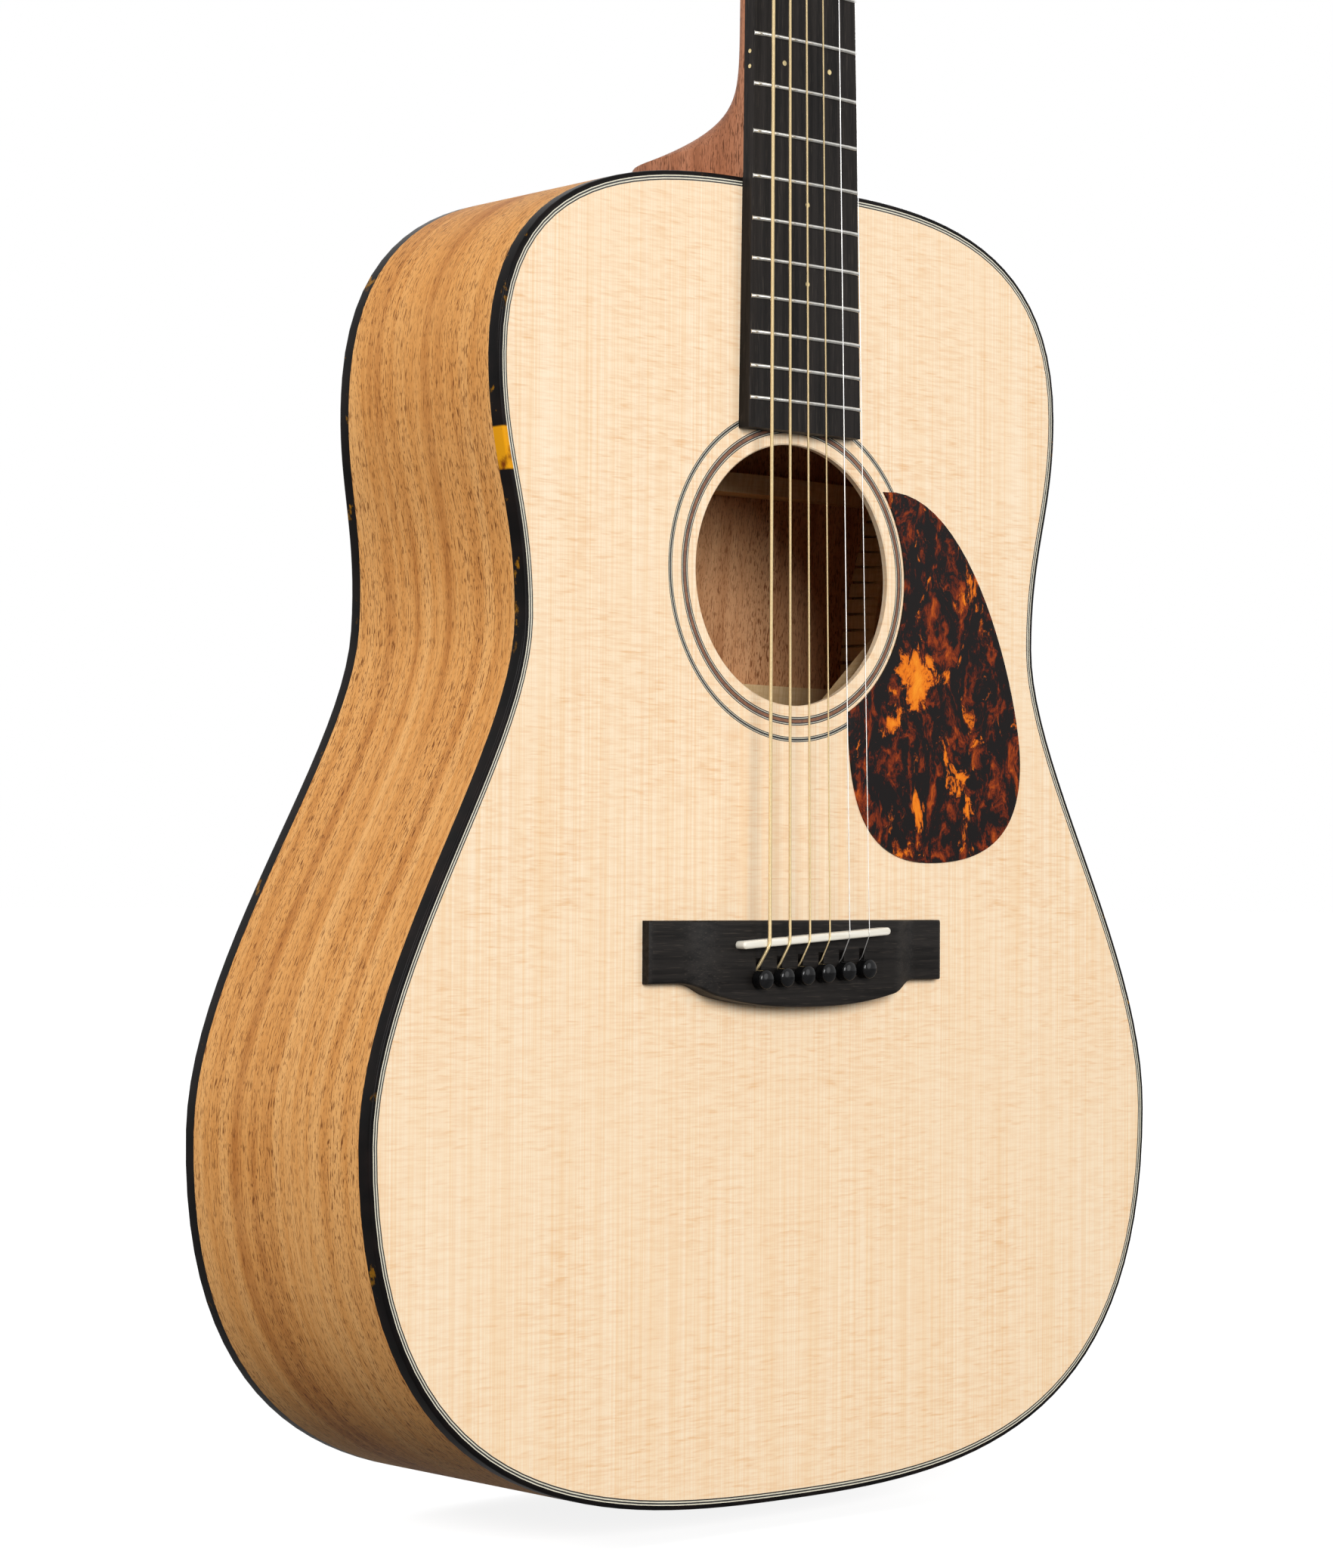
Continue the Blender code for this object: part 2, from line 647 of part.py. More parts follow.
def make_top_braces(mat):
    cross_z = JOINT_Z - X_BELOW_NECK
    for name, side, lap in (("x_brace_bass", 1, "inner"), ("x_brace_treble", -1, "outer")):
        add_mesh(name, brace_bar(X_LOWER_LEG, X_UPPER_LEG, BRACE_HEIGHT, lap), mat,
                 location=(0, INNER_TOP_Y, cross_z), rotation=(0, side * X_HALF_ANGLE, 0))
    plate_z = JOINT_Z - BRIDGE_PLATE_BOTTOM
    room = plate_z - (BUTTON_PROJECTION + RIM_INSET + TAIL_BLOCK_LENGTH)
    half_bout = LOWER_BOUT / 2
    for name, (across0, down0), (across1, down1) in TONE_BARS:
        start = Vector((half_bout * across0, 0, plate_z - room * down0))
        end = Vector((half_bout * across1, 0, plate_z - room * down1))
        run = end - start
        middle = (start + end) / 2
        half = run.length / 2
        add_mesh(name, brace_bar(half, half, TONE_BAR_HEIGHT), mat,
                 location=(middle.x, INNER_TOP_Y, middle.z), rotation=(0, math.atan2(run.x, run.z), 0))
    level = JOINT_Z - TRANSVERSE_BELOW_NECK
    reach = half_width(level + BRACE_WIDTH, RIM_INSET + LINING_WIDTH) - BRACE_END_CLEARANCE
    brace = add_mesh("transverse_brace", brace_bar(reach, reach, BRACE_HEIGHT), mat,
                     location=(0, INNER_TOP_Y, level), rotation=(0, math.radians(90), 0))
    key = [(TRUSS_NUT_RADIUS, -BRACE_WIDTH), (TRUSS_NUT_RADIUS, BRACE_WIDTH)]
    combine(brace, tool("key_hole", turned(key, 16), location=(0, TOP_Y + TRUSS_ROD_CENTRE, level)))


def make_back_braces(mat):
    stations = 9
    for number, share in enumerate(BACK_BRACE_SHARES, 1):
        level = JOINT_Z - BODY_LENGTH * share
        low = level - BRACE_WIDTH / 2
        high = level + BRACE_WIDTH / 2
        narrow = min(half_width(z, RIM_INSET + LINING_WIDTH) for z in (low, level, high))
        reach = narrow - BRACE_END_CLEARANCE
        rings = []
        for i in range(stations):
            x = reach * (2 * i / (stations - 1) - 1)
            end = smooth_step((reach - abs(x)) / BRACE_TAPER)
            height = BRACE_END_HEIGHT + (BACK_BRACE_HEIGHT - BRACE_END_HEIGHT) * end
            corners = ((low, 0.0), (low, height), (high, height), (high, 0.0))
            rings.append([Vector((x, back_inside_y(x, z) - lift, z)) for z, lift in corners])
        add_mesh(f"back_brace_{number}", skinned(rings), mat)


def make_bridge_plate(mat):
    """A plate that fits between the legs of the X under the bridge."""
    top = BRIDGE_TOP_BELOW_NECK - BRIDGE_PLATE_MARGIN
    bottom = BRIDGE_PLATE_BOTTOM
    clear = (BRACE_WIDTH / 2 + 2 * GAP) / math.cos(X_HALF_ANGLE)
    top_x = (top - X_BELOW_NECK) * math.tan(X_HALF_ANGLE) - clear
    bottom_x = (bottom - X_BELOW_NECK) * math.tan(X_HALF_ANGLE) - clear
    loop = [(-bottom_x, JOINT_Z - bottom), (bottom_x, JOINT_Z - bottom),
            (top_x, JOINT_Z - top), (-top_x, JOINT_Z - top)]
    bm = prism(loop, INNER_TOP_Y, INNER_TOP_Y + BRIDGE_PLATE_THICKNESS)
    plate = add_mesh("bridge_plate", bm, mat)
    combine(plate, bpy.data.objects["pin_holes"])


def pickguard_loop():
    """A teardrop beside the soundhole: an arc round the hole, then three curves back to its start."""
    centre = Vector((0, JOINT_Z - HOLE_BELOW_NECK))

    def on_arc(angle):
        return centre + PICKGUARD_ARC_RADIUS * Vector((math.cos(angle), math.sin(angle)))

    arc_steps = 12
    sweep = PICKGUARD_ARC_END - PICKGUARD_ARC_START
    points = [on_arc(PICKGUARD_ARC_START + sweep * i / arc_steps) for i in range(arc_steps)]
    low = on_arc(PICKGUARD_ARC_END)
    top = on_arc(PICKGUARD_ARC_START)
    bottom = Vector((PICKGUARD_BOTTOM[0], JOINT_Z - PICKGUARD_BOTTOM[1]))
    right = Vector((PICKGUARD_RIGHT[0], JOINT_Z - PICKGUARD_RIGHT[1]))
    across = Vector((1, 0))
    up = Vector((0, 1))
    pull = PICKGUARD_PULLS
    curves = ((low, low - up * pull[0], bottom - across * pull[1], bottom),
              (bottom, bottom + across * pull[2], right - up * pull[3], right),
              (right, right + up * pull[4], top + across * pull[5] + up * PICKGUARD_TOP_LIFT, top))
    steps = 8
    for curve in curves:
        points += [cubic(*curve, i / steps)[0] for i in range(steps)]
    return [(p.x, p.y) for p in points]


def make_pickguard(mat):
    add_mesh("pickguard", prism(pickguard_loop(), TOP_Y - GAP - PICKGUARD_THICKNESS, TOP_Y - GAP), mat)


def pin_radius(height):
    """The pin's radius at a height above the soundboard."""
    taper = (PIN_SHANK_RADIUS - PIN_TIP_RADIUS) / PIN_SHANK_LENGTH
    return PIN_SHANK_RADIUS + taper * (height - BRIDGE_HEIGHT - GAP)


def make_pin_hole_tool():
    bm = bmesh.new()
    sides = 12
    for index in range(len(STRING_DIAMETERS)):
        x, z = pin_place(index)
        rings = []
        for height in (BRIDGE_HEIGHT + PIN_HEAD_HEIGHT, BRIDGE_HEIGHT + GAP - PIN_SHANK_LENGTH):
            radius = pin_radius(height) + GAP
            rings.append([Vector((x + px, TOP_Y - height, z + pz)) for px, pz in circle(radius, sides)])
        skin(bm, rings)
    tool("pin_holes", bm)


def bridge_height(x):
    fall = smooth_step((abs(x) - BRIDGE_FLAT_HALF) / (BELLY_HALF_LENGTH - BRIDGE_FLAT_HALF))
    return BRIDGE_HEIGHT + (BRIDGE_WING_HEIGHT - BRIDGE_HEIGHT) * fall


def bridge_bottom(x):
    """The lower edge, level at the wings and rounded at the belly."""
    wing = JOINT_Z - BRIDGE_TOP_BELOW_NECK - BRIDGE_WING_WIDTH
    share = min(abs(x) / BELLY_HALF_LENGTH, 1.0)
    bulge = (1 - share ** BELLY_FULLNESS) * smooth_step((1 - share) / BELLY_EASE)
    return wing - BRIDGE_BELLY * bulge


def make_bridge(mat):
    half = BRIDGE_LENGTH / 2
    top = JOINT_Z - BRIDGE_TOP_BELOW_NECK
    bevel = BRIDGE_EDGE_BEVEL
    stations = 16
    rings = []
    for i in range(stations + 1):
        x = half * (2 * i / stations - 1)
        low = bridge_bottom(x)
        height = bridge_height(x) + GAP
        section = ((top, GAP), (top, height - bevel), (top - bevel, height),
                   (low + bevel, height), (low, height - bevel), (low, GAP))
        rings.append([Vector((x, TOP_Y - h, z)) for z, h in section])
    bridge = add_mesh("bridge", skinned(rings), mat)
    combine(bridge, bpy.data.objects["pin_holes"])
    slot = saddle_bar(SADDLE_LENGTH + 2 * GAP, SADDLE_THICKNESS + 2 * GAP, SADDLE_SLOT_FLOOR, SADDLE_TOP)
    combine(bridge, tool("saddle_slot", slot))
    combine(bridge, tool("string_ramps", string_ramps()))


def string_ramps():
    """A ramp from each pin hole towards the saddle, which lets the string out under the pin's head."""
    bm = bmesh.new()
    half = PIN_GROOVE_WIDTH / 2 + GAP
    low = BRIDGE_HEIGHT - RAMP_DEPTH
    high = BRIDGE_HEIGHT + RAMP_OVER
    run = (high - low) * RAMP_SLOPE
    for index in range(len(STRING_DIAMETERS)):
        x, z = pin_place(index)
        section = ((0.0, low), (PIN_SHANK_RADIUS, low), (PIN_SHANK_RADIUS + run, high), (0.0, high))
        skin(bm, [[Vector((x + side, TOP_Y - h, z + dz)) for dz, h in section] for side in (-half, half)])
    return bm


def saddle_bar(length, thickness, floor, top, rounding=0.0):
    """A slanted upright bar with rounded ends, from a floor height to a top height over the soundboard."""
    radius = thickness / 2
    slant = math.atan(SADDLE_SLANT)
    end_steps = 4
    outline = []
    for side in (1, -1):
        for i in range(end_steps + 1):
            a = math.pi * (i / end_steps - 0.5)
            outline.append((side * (length / 2 - radius + radius * math.cos(a)), side * radius * math.sin(a)))
    levels = [(floor, 0.0), (top, 0.0)]
    if rounding:
        levels = [(floor, 0.0), (top - rounding, 0.0), (top - rounding / 3, rounding / 3), (top, rounding)]
    rings = []
    for height, shrink in levels:
        ring = []
        for along, across in outline:
            x = along * (1 - 2 * shrink / length)
            z = across * (1 - shrink / radius)
            place = Matrix.Rotation(slant, 2) @ Vector((x, z))
            ring.append(Vector((place.x, TOP_Y - height, JOINT_Z - SADDLE_BELOW_NECK + place.y)))
        rings.append(ring)
    return skinned(rings)


def make_saddle(mat):
    bar = saddle_bar(SADDLE_LENGTH, SADDLE_THICKNESS, SADDLE_SLOT_FLOOR + GAP, SADDLE_TOP,
                     (SADDLE_THICKNESS - SADDLE_CREST) / 2)
    add_mesh("saddle", bar, mat)


def make_pins(mat):
    """Pins with their heads out of the bridge, each with a groove that faces the saddle."""
    seat = BRIDGE_HEIGHT + 2 * GAP
    tip = seat - PIN_SHANK_LENGTH
    profile = [(PIN_TIP_RADIUS * 0.6, tip), (PIN_TIP_RADIUS, tip + PIN_TIP_RADIUS), (PIN_SHANK_RADIUS, seat),
               (PIN_HEAD_RADIUS, seat), (PIN_HEAD_RADIUS, seat + PIN_HEAD_HEIGHT - PIN_DOME),
               (PIN_HEAD_RADIUS * 0.8, seat + PIN_HEAD_HEIGHT - PIN_DOME * 0.35),
               (PIN_HEAD_RADIUS * 0.35, seat + PIN_HEAD_HEIGHT)]
    floor = PIN_SHANK_RADIUS - PIN_GROOVE_DEPTH
    half = PIN_GROOVE_WIDTH / 2
    facing_out = (math.radians(90), 0, 0)
    for index in range(len(STRING_DIAMETERS)):
        x, z = pin_place(index)
        place = (x, TOP_Y, z)
        name = f"bridge_pin_{index + 1}"
        pin = add_mesh(name, turned(profile, 12), mat, location=place, rotation=facing_out)
        groove = box((-half, floor, tip - GAP), (half, PIN_HEAD_RADIUS * 2, seat - GAP))
        combine(pin, tool(f"{name}_groove", groove, location=place, rotation=facing_out))


def tongue(grow, front_y=None):
    """The dovetail tongue, or its pocket when grown and opened to the front."""
    front = TOP_Y + TONGUE_TOP - grow if front_y is None else front_y
    bottom = TOP_Y + TONGUE_BOTTOM + grow
    mouth = TONGUE_MOUTH / 2 + grow
    root = TONGUE_ROOT / 2 + grow
    inside = JOINT_Z - RIM_INSET
    loop = [(mouth, JOINT_Z + HEEL_REACH / 2), (mouth, inside), (root, JOINT_Z - TONGUE_LENGTH - grow)]
    loop += [(-x, z) for x, z in reversed(loop)]
    return prism(loop, front, bottom)


def heel_depth(height):
    """Depth of the neck behind the board at a height over the body joint."""
    foot = NECK_DEPTH - HEEL_SHORT_OF_BACK
    t = min(max(height - HEEL_REACH, 0.0) / HEEL_BLEND, 1.0)
    return NECK_THICKNESS_HEEL + (foot - NECK_THICKNESS_HEEL) * (1 - t) ** HEEL_CURVE


def neck_ring(distance, depth, power):
    """A cross-section of the neck: flat under the board, rounded behind."""
    sides = 16
    half = board_half(distance)
    y = glue_y(distance)
    z = along_neck(distance)
    ring = []
    for i in range(sides + 1):
        a = math.pi * i / sides
        x = half * math.copysign(abs(math.cos(a)) ** power, math.cos(a))
        ring.append(Vector((x, y + depth * math.sin(a), z)))
    return ring


def make_neck(mat):
    joint = fret_distance(JOINT_FRET)
    heel_steps = 12
    heights = [GAP, HEEL_REACH / 2, HEEL_REACH]
    heights += [HEEL_REACH + HEEL_BLEND * (i / heel_steps) ** 2 for i in range(1, heel_steps + 1)]
    rings = []
    for height in heights:
        depth = heel_depth(height)
        fullness = (depth - NECK_THICKNESS_HEEL) / (heel_depth(0.0) - NECK_THICKNESS_HEEL)
        power = NECK_SECTION + (HEEL_SECTION - NECK_SECTION) * fullness
        rings.append(neck_ring(joint - height, depth, power))
    shaft_start = joint - heights[-1]
    shaft_end = -NUT_LENGTH - GAP
    steps = 4
    for i in range(1, steps + 1):
        t = i / steps
        distance = shaft_start + (shaft_end - shaft_start) * t
        depth = NECK_THICKNESS_HEEL + (NECK_THICKNESS_NUT - NECK_THICKNESS_HEEL) * t
        rings.append(neck_ring(distance, depth, NECK_SECTION))
    neck = add_mesh("neck", skinned(rings), mat)
    combine(neck, tool("head_blank", head_solid(0.0, -HEAD_THICKNESS, 0.0), HEAD), "UNION")
    combine(neck, tool("tongue_blank", tongue(0.0)), "UNION")
    combine(neck, tool("rod_channel", rod_channel()))
    holes = post_holes(POST_RADIUS + GAP, -HEAD_THICKNESS * 2, HEAD_THICKNESS)
    combine(neck, tool("post_holes", holes, HEAD))


def head_loop(start):
    """The headstock's outline in its own plane: (across, along), from a start line to its top arc."""
    neck_half = board_half(-NUT_LENGTH)
    sides = [(neck_half, start)]
    shoulder_steps = 4
    for i in range(1, shoulder_steps + 1):
        t = i / shoulder_steps
        sides.append((neck_half + (HEAD_BASE_WIDTH / 2 - neck_half) * smooth_step(t), HEAD_SHOULDER * t))
    corner = HEAD_LENGTH - HEAD_TOP_RISE
    sides.append((HEAD_TOP_WIDTH / 2, corner))
    arc_steps = 4
    for i in range(1, arc_steps + 1):
        x = HEAD_TOP_WIDTH / 2 * (1 - i / arc_steps)
        sides.append((x, corner + HEAD_TOP_RISE * (1 - (2 * x / HEAD_TOP_WIDTH) ** 2)))
    return sides + [(-x, y) for x, y in reversed(sides[:-1])]


def head_solid(front, back, start):
    loop = head_loop(start)
    return skinned([[Vector((x, y, n)) for x, y in loop] for n in (front, back)])


def make_headplate(mat):
    front = GAP + HEADPLATE_THICKNESS
    plate = add_mesh("headplate", head_solid(front, GAP, GAP), mat, HEAD)
    combine(plate, bpy.data.objects["post_holes"])


def tuners():
    """Each tuner's string number, side and place along the head."""
    for number in range(1, 7):
        side = -1 if number > 3 else 1
        order = 6 - number if side < 0 else number - 1
        yield number, side, FIRST_POST + POST_SPACING * order


def post_holes(radius, low, high):
    bm = bmesh.new()
    for number, side, along in tuners():
        ring = [(side * POST_X + x, along + y) for x, y in circle(radius, 12)]
        skin(bm, [[Vector((x, y, n)) for x, y in ring] for n in (low, high)])
    return bm


def rod_channel():
    half = TRUSS_ROD_RADIUS + GAP
    end = along_neck(TRUSS_ROD_SHORT_OF_NUT) + 2 * GAP
    return box((-half, TOP_Y - TRUSS_ROD_CENTRE, JOINT_Z - HEEL_REACH),
               (half, TOP_Y + TRUSS_ROD_CENTRE + half, end))


def truss_rod_shape(radius):
    start = JOINT_Z - RIM_INSET - NECK_BLOCK_LENGTH - GAP
    end = along_neck(TRUSS_ROD_SHORT_OF_NUT)
    rings = []
    for z in (start, end):
        rings.append([Vector((x, TOP_Y + TRUSS_ROD_CENTRE + y, z)) for x, y in circle(radius, 12)])
    return skinned(rings)


def make_truss_rod(mat):
    add_mesh("truss_rod", truss_rod_shape(TRUSS_ROD_RADIUS), mat)
    top = JOINT_Z - RIM_INSET - NECK_BLOCK_LENGTH - 2 * GAP
    place = (0, TOP_Y + TRUSS_ROD_CENTRE, top)
    barrel = turned([(TRUSS_NUT_RADIUS, -TRUSS_NUT_LENGTH), (TRUSS_NUT_RADIUS, 0)], 16)
    nut = add_mesh("truss_rod_nut", barrel, mat, location=place)
    socket = turned([(TRUSS_SOCKET_RADIUS, -TRUSS_NUT_LENGTH * 2),
                     (TRUSS_SOCKET_RADIUS, TRUSS_SOCKET_DEPTH - TRUSS_NUT_LENGTH)], 6)
    combine(nut, tool("key_socket", socket, location=place))


def make_fingerboard(mat):
    """A board whose top rises over each fret, flat underneath on the body and on the neck."""
    joint = fret_distance(JOINT_FRET)
    end = fret_distance(FRET_COUNT) + BOARD_OVERHANG
    stations = [(0.0, 0.0)]
    for number in range(1, FRET_COUNT + 1):
        middle = fret_distance(number)
        half = FRET_WIDTH / 2
        stations += [(middle - half, 0.0), (middle - half / 2, FRET_HEIGHT),
                     (middle + half / 2, FRET_HEIGHT), (middle + half, 0.0)]
    stations.append((end, 0.0))
    rings = []
    for distance, lift in stations:
        under = TOP_Y - GAP if distance > joint else board_top_y(distance) + BOARD_THICKNESS
        half = board_half(distance)
        z = along_neck(distance)
        ring = [Vector((half, under, z)), Vector((-half, under, z))]
        for share in (-1.0, 0.0, 1.0):
            x = half * share
            ring.append(Vector((x, board_top_y(distance) + board_crown(x) - lift, z)))
        rings.append(ring)
    add_mesh("fingerboard", skinned(rings), mat)


def nut_string_bottom():
    return board_top_y(0.0) - NUT_STRING_LIFT


def make_nut(mat):
    half = board_half(0.0)
    low = along_neck(0.0) + GAP
    high = along_neck(-NUT_LENGTH) - GAP
    under = glue_y(-NUT_LENGTH) - GAP
    top = nut_string_bottom() - NUT_OVER_STRINGS
    section = ((low, under), (high, under), (high, top + NUT_OVER_STRINGS * 2),
               (low + NUT_LENGTH / 3, top), (low, top))
    nut = add_mesh("nut", skinned([[Vector((x, y, z)) for z, y in section] for x in (-half, half)]), mat)
    slots = bmesh.new()
    for index, diameter in enumerate(STRING_DIAMETERS):
        x = string_x(index, NUT_STRING_SPACING)
        reach = diameter / 2 + GAP
        floor_low = nut_string_bottom() + GAP
        floor_high = floor_low + NUT_LENGTH * math.tan(HEAD_ANGLE)
        loop = ((low - NUT_LENGTH, floor_low), (low + NUT_LENGTH / 2, floor_low),
                (high + NUT_LENGTH, floor_high), (high + NUT_LENGTH, top - NUT_LENGTH),
                (low - NUT_LENGTH, top - NUT_LENGTH))
        skin(slots, [[Vector((x + side, y, z)) for z, y in loop] for side in (-reach, reach)])
    combine(nut, tool("nut_slots", slots))


def gear_ring(level):
    """One layer of the gear: straight-sided teeth, turned to follow the worm's lead."""
    lead = WORM_PITCH / (2 * math.pi * WORM_PITCH_RADIUS)
    turn = (level - WORM_LEVEL) * lead / GEAR_RADIUS
    step = 2 * math.pi / GEAR_TEETH
    root = GEAR_RADIUS - TOOTH_HEIGHT / 2
    tip = GEAR_RADIUS + TOOTH_HEIGHT / 2
    corners = ((-TOOTH_ROOT_SHARE, root), (-TOOTH_TIP_SHARE, tip),
               (TOOTH_TIP_SHARE, tip), (TOOTH_ROOT_SHARE, root))
    ring = []
    for tooth in range(GEAR_TEETH):
        middle = math.pi / 2 + (tooth + 0.5) * step + turn
        for share, radius in corners:
            a = middle + share * step
            ring.append(Vector((radius * math.cos(a), radius * math.sin(a), level)))
    return ring


def make_posts(mat):
    """A gear behind the plate and a post through the head, turning about one axis."""
    face = GAP + HEADPLATE_THICKNESS
    top = face + POST_ABOVE_FACE
    low = WORM_LEVEL - GEAR_THICKNESS / 2
    high = WORM_LEVEL + GEAR_THICKNESS / 2
    for number, side, along in tuners():
        place = (side * POST_X, along, 0)
        gear = skinned([gear_ring(low), gear_ring(high)])
        post = add_mesh(f"tuner_post_{number}", gear, mat, HEAD, place)
        edge = POST_RADIUS / 4
        rod = [(POST_RADIUS, low - PLATE_THICKNESS), (POST_RADIUS, top - edge), (POST_RADIUS - edge, top)]
        combine(post, tool(f"post_rod_{number}", turned(rod, 12), HEAD, place), "UNION")
        eye = turned([(POST_HOLE_RADIUS, -POST_RADIUS * 2), (POST_HOLE_RADIUS, POST_RADIUS * 2)], 8)
        eye_place = (side * POST_X, along, top - POST_HOLE_BELOW_TOP)
        combine(post, tool(f"post_eye_{number}", eye, HEAD, eye_place, (0, math.radians(90), 0)))


def worm_radius(along, angle):
    """Radius of the threaded part: a right-hand thread whose crest faces the gear at its middle."""
    phase = along / WORM_PITCH - (angle - math.pi) / (2 * math.pi)
    off_crest = abs((phase + 0.5) % 1.0 - 0.5) * 2
    fall = min(max((off_crest - THREAD_CREST_SHARE) / THREAD_FLANK_SHARE, 0.0), 1.0)
    return WORM_CREST_RADIUS - (WORM_CREST_RADIUS - WORM_ROOT_RADIUS) * fall


def knob_start():
    return HEAD_TOP_WIDTH / 2 + KNOB_STAND_OFF - POST_X


def make_worms(mat):
    """The knob, its shaft and the worm on it as one turned piece along X."""
    sides = 10
    lug_reach = WORM_HALF + 2 * GAP + LUG_THICKNESS
    for number, side, along in tuners():
        rings = []

        def add_ring(x, radii):
            ring = []
            for i in range(sides):
                a = 2 * math.pi * i / sides
                across, out = radii(a)
                ring.append(Vector((side * x, across * math.cos(a), out * math.sin(a))))
            rings.append(ring)

        def round_bar(radius):
            return lambda a: (radius, radius)

        def thread(x):
            def radii(a):
                radius = worm_radius(side * x, a)
                return radius, radius
            return radii

        def oval(share):
            return lambda a: (KNOB_HALF_WIDTH * share, KNOB_HALF_THICKNESS * share)

        add_ring(-lug_reach - GAP, round_bar(SHAFT_RADIUS))
        add_ring(-WORM_HALF, round_bar(SHAFT_RADIUS))
        steps = WORM_TURNS * 4
        for i in range(steps + 1):
            x = WORM_HALF * (2 * i / steps - 1)
            add_ring(x, thread(x))
        start = knob_start()
        add_ring(WORM_HALF + GAP / 2, round_bar(SHAFT_RADIUS))
        add_ring(start, round_bar(SHAFT_RADIUS))
        for share, place in KNOB_PROFILE:
            add_ring(start + GAP / 2 + KNOB_LENGTH * place, oval(share))
        middle = (side * POST_X, along + MESH_DISTANCE, WORM_LEVEL)
        add_mesh(f"tuner_knob_{number}", skinned(rings), mat, HEAD, middle)


def lug_loop():
    """A lug's outline round the shaft, rooted in the plate: (along, out of the head)."""
    reach = LUG_WIDTH / 2
    root = PLATE_BACK + PLATE_THICKNESS / 2
    under = WORM_LEVEL - LUG_BELOW_SHAFT
    corner = reach / 2
    right = [(reach, root), (reach, under + corner), (corner, under)]
    return right + [(-y, n) for y, n in reversed(right)]


def make_tuner_plates(mat):
    lug_middle = WORM_HALF + GAP * 2 + LUG_THICKNESS / 2
    for name, side in (("tuner_plate_bass", -1), ("tuner_plate_treble", 1)):
        places = [along for number, s, along in tuners() if s == side]
        low = min(places) - PLATE_END
        high = max(places) + MESH_DISTANCE + PLATE_END
        middle = side * POST_X
        half = PLATE_WIDTH / 2
        bm = box((middle - half, low, PLATE_BACK), (middle + half, high, PLATE_BACK + PLATE_THICKNESS))
        plate = add_mesh(name, bm, mat, HEAD)
        lugs = bmesh.new()
        bores = bmesh.new()
        for along in places:
            y = along + MESH_DISTANCE
            for x in (middle - lug_middle, middle + lug_middle):
                faces = (x - LUG_THICKNESS / 2, x + LUG_THICKNESS / 2)
                skin(lugs, [[Vector((face, y + dy, n)) for dy, n in lug_loop()] for face in faces])
            ends = (middle - lug_middle - LUG_THICKNESS, middle + lug_middle + LUG_THICKNESS)
            bore = circle(SHAFT_RADIUS + GAP, 10)
            skin(bores, [[Vector((x, y + dy, WORM_LEVEL + dn)) for dy, dn in bore] for x in ends])
        combine(plate, tool(f"{name}_lugs", lugs, HEAD), "UNION")
        combine(plate, tool(f"{name}_bores", bores, HEAD))
        combine(plate, bpy.data.objects["post_holes"])


def head_to_part(x, along, out):
    """A point of the headstock's own frame in the part's frame."""
    up = Vector((0, math.sin(HEAD_ANGLE), math.cos(HEAD_ANGLE)))
    normal = Vector((0, -math.cos(HEAD_ANGLE), math.sin(HEAD_ANGLE)))
    return HEAD.location + Vector((x, 0, 0)) + up * along + normal * out


def bend(p0, p1, p2, steps):
    """Points on a quadratic curve, without its last one."""
    points = []
    for i in range(steps):
        t = i / steps
        points.append(p0 * (1 - t) ** 2 + p1 * 2 * t * (1 - t) + p2 * t * t)
    return points


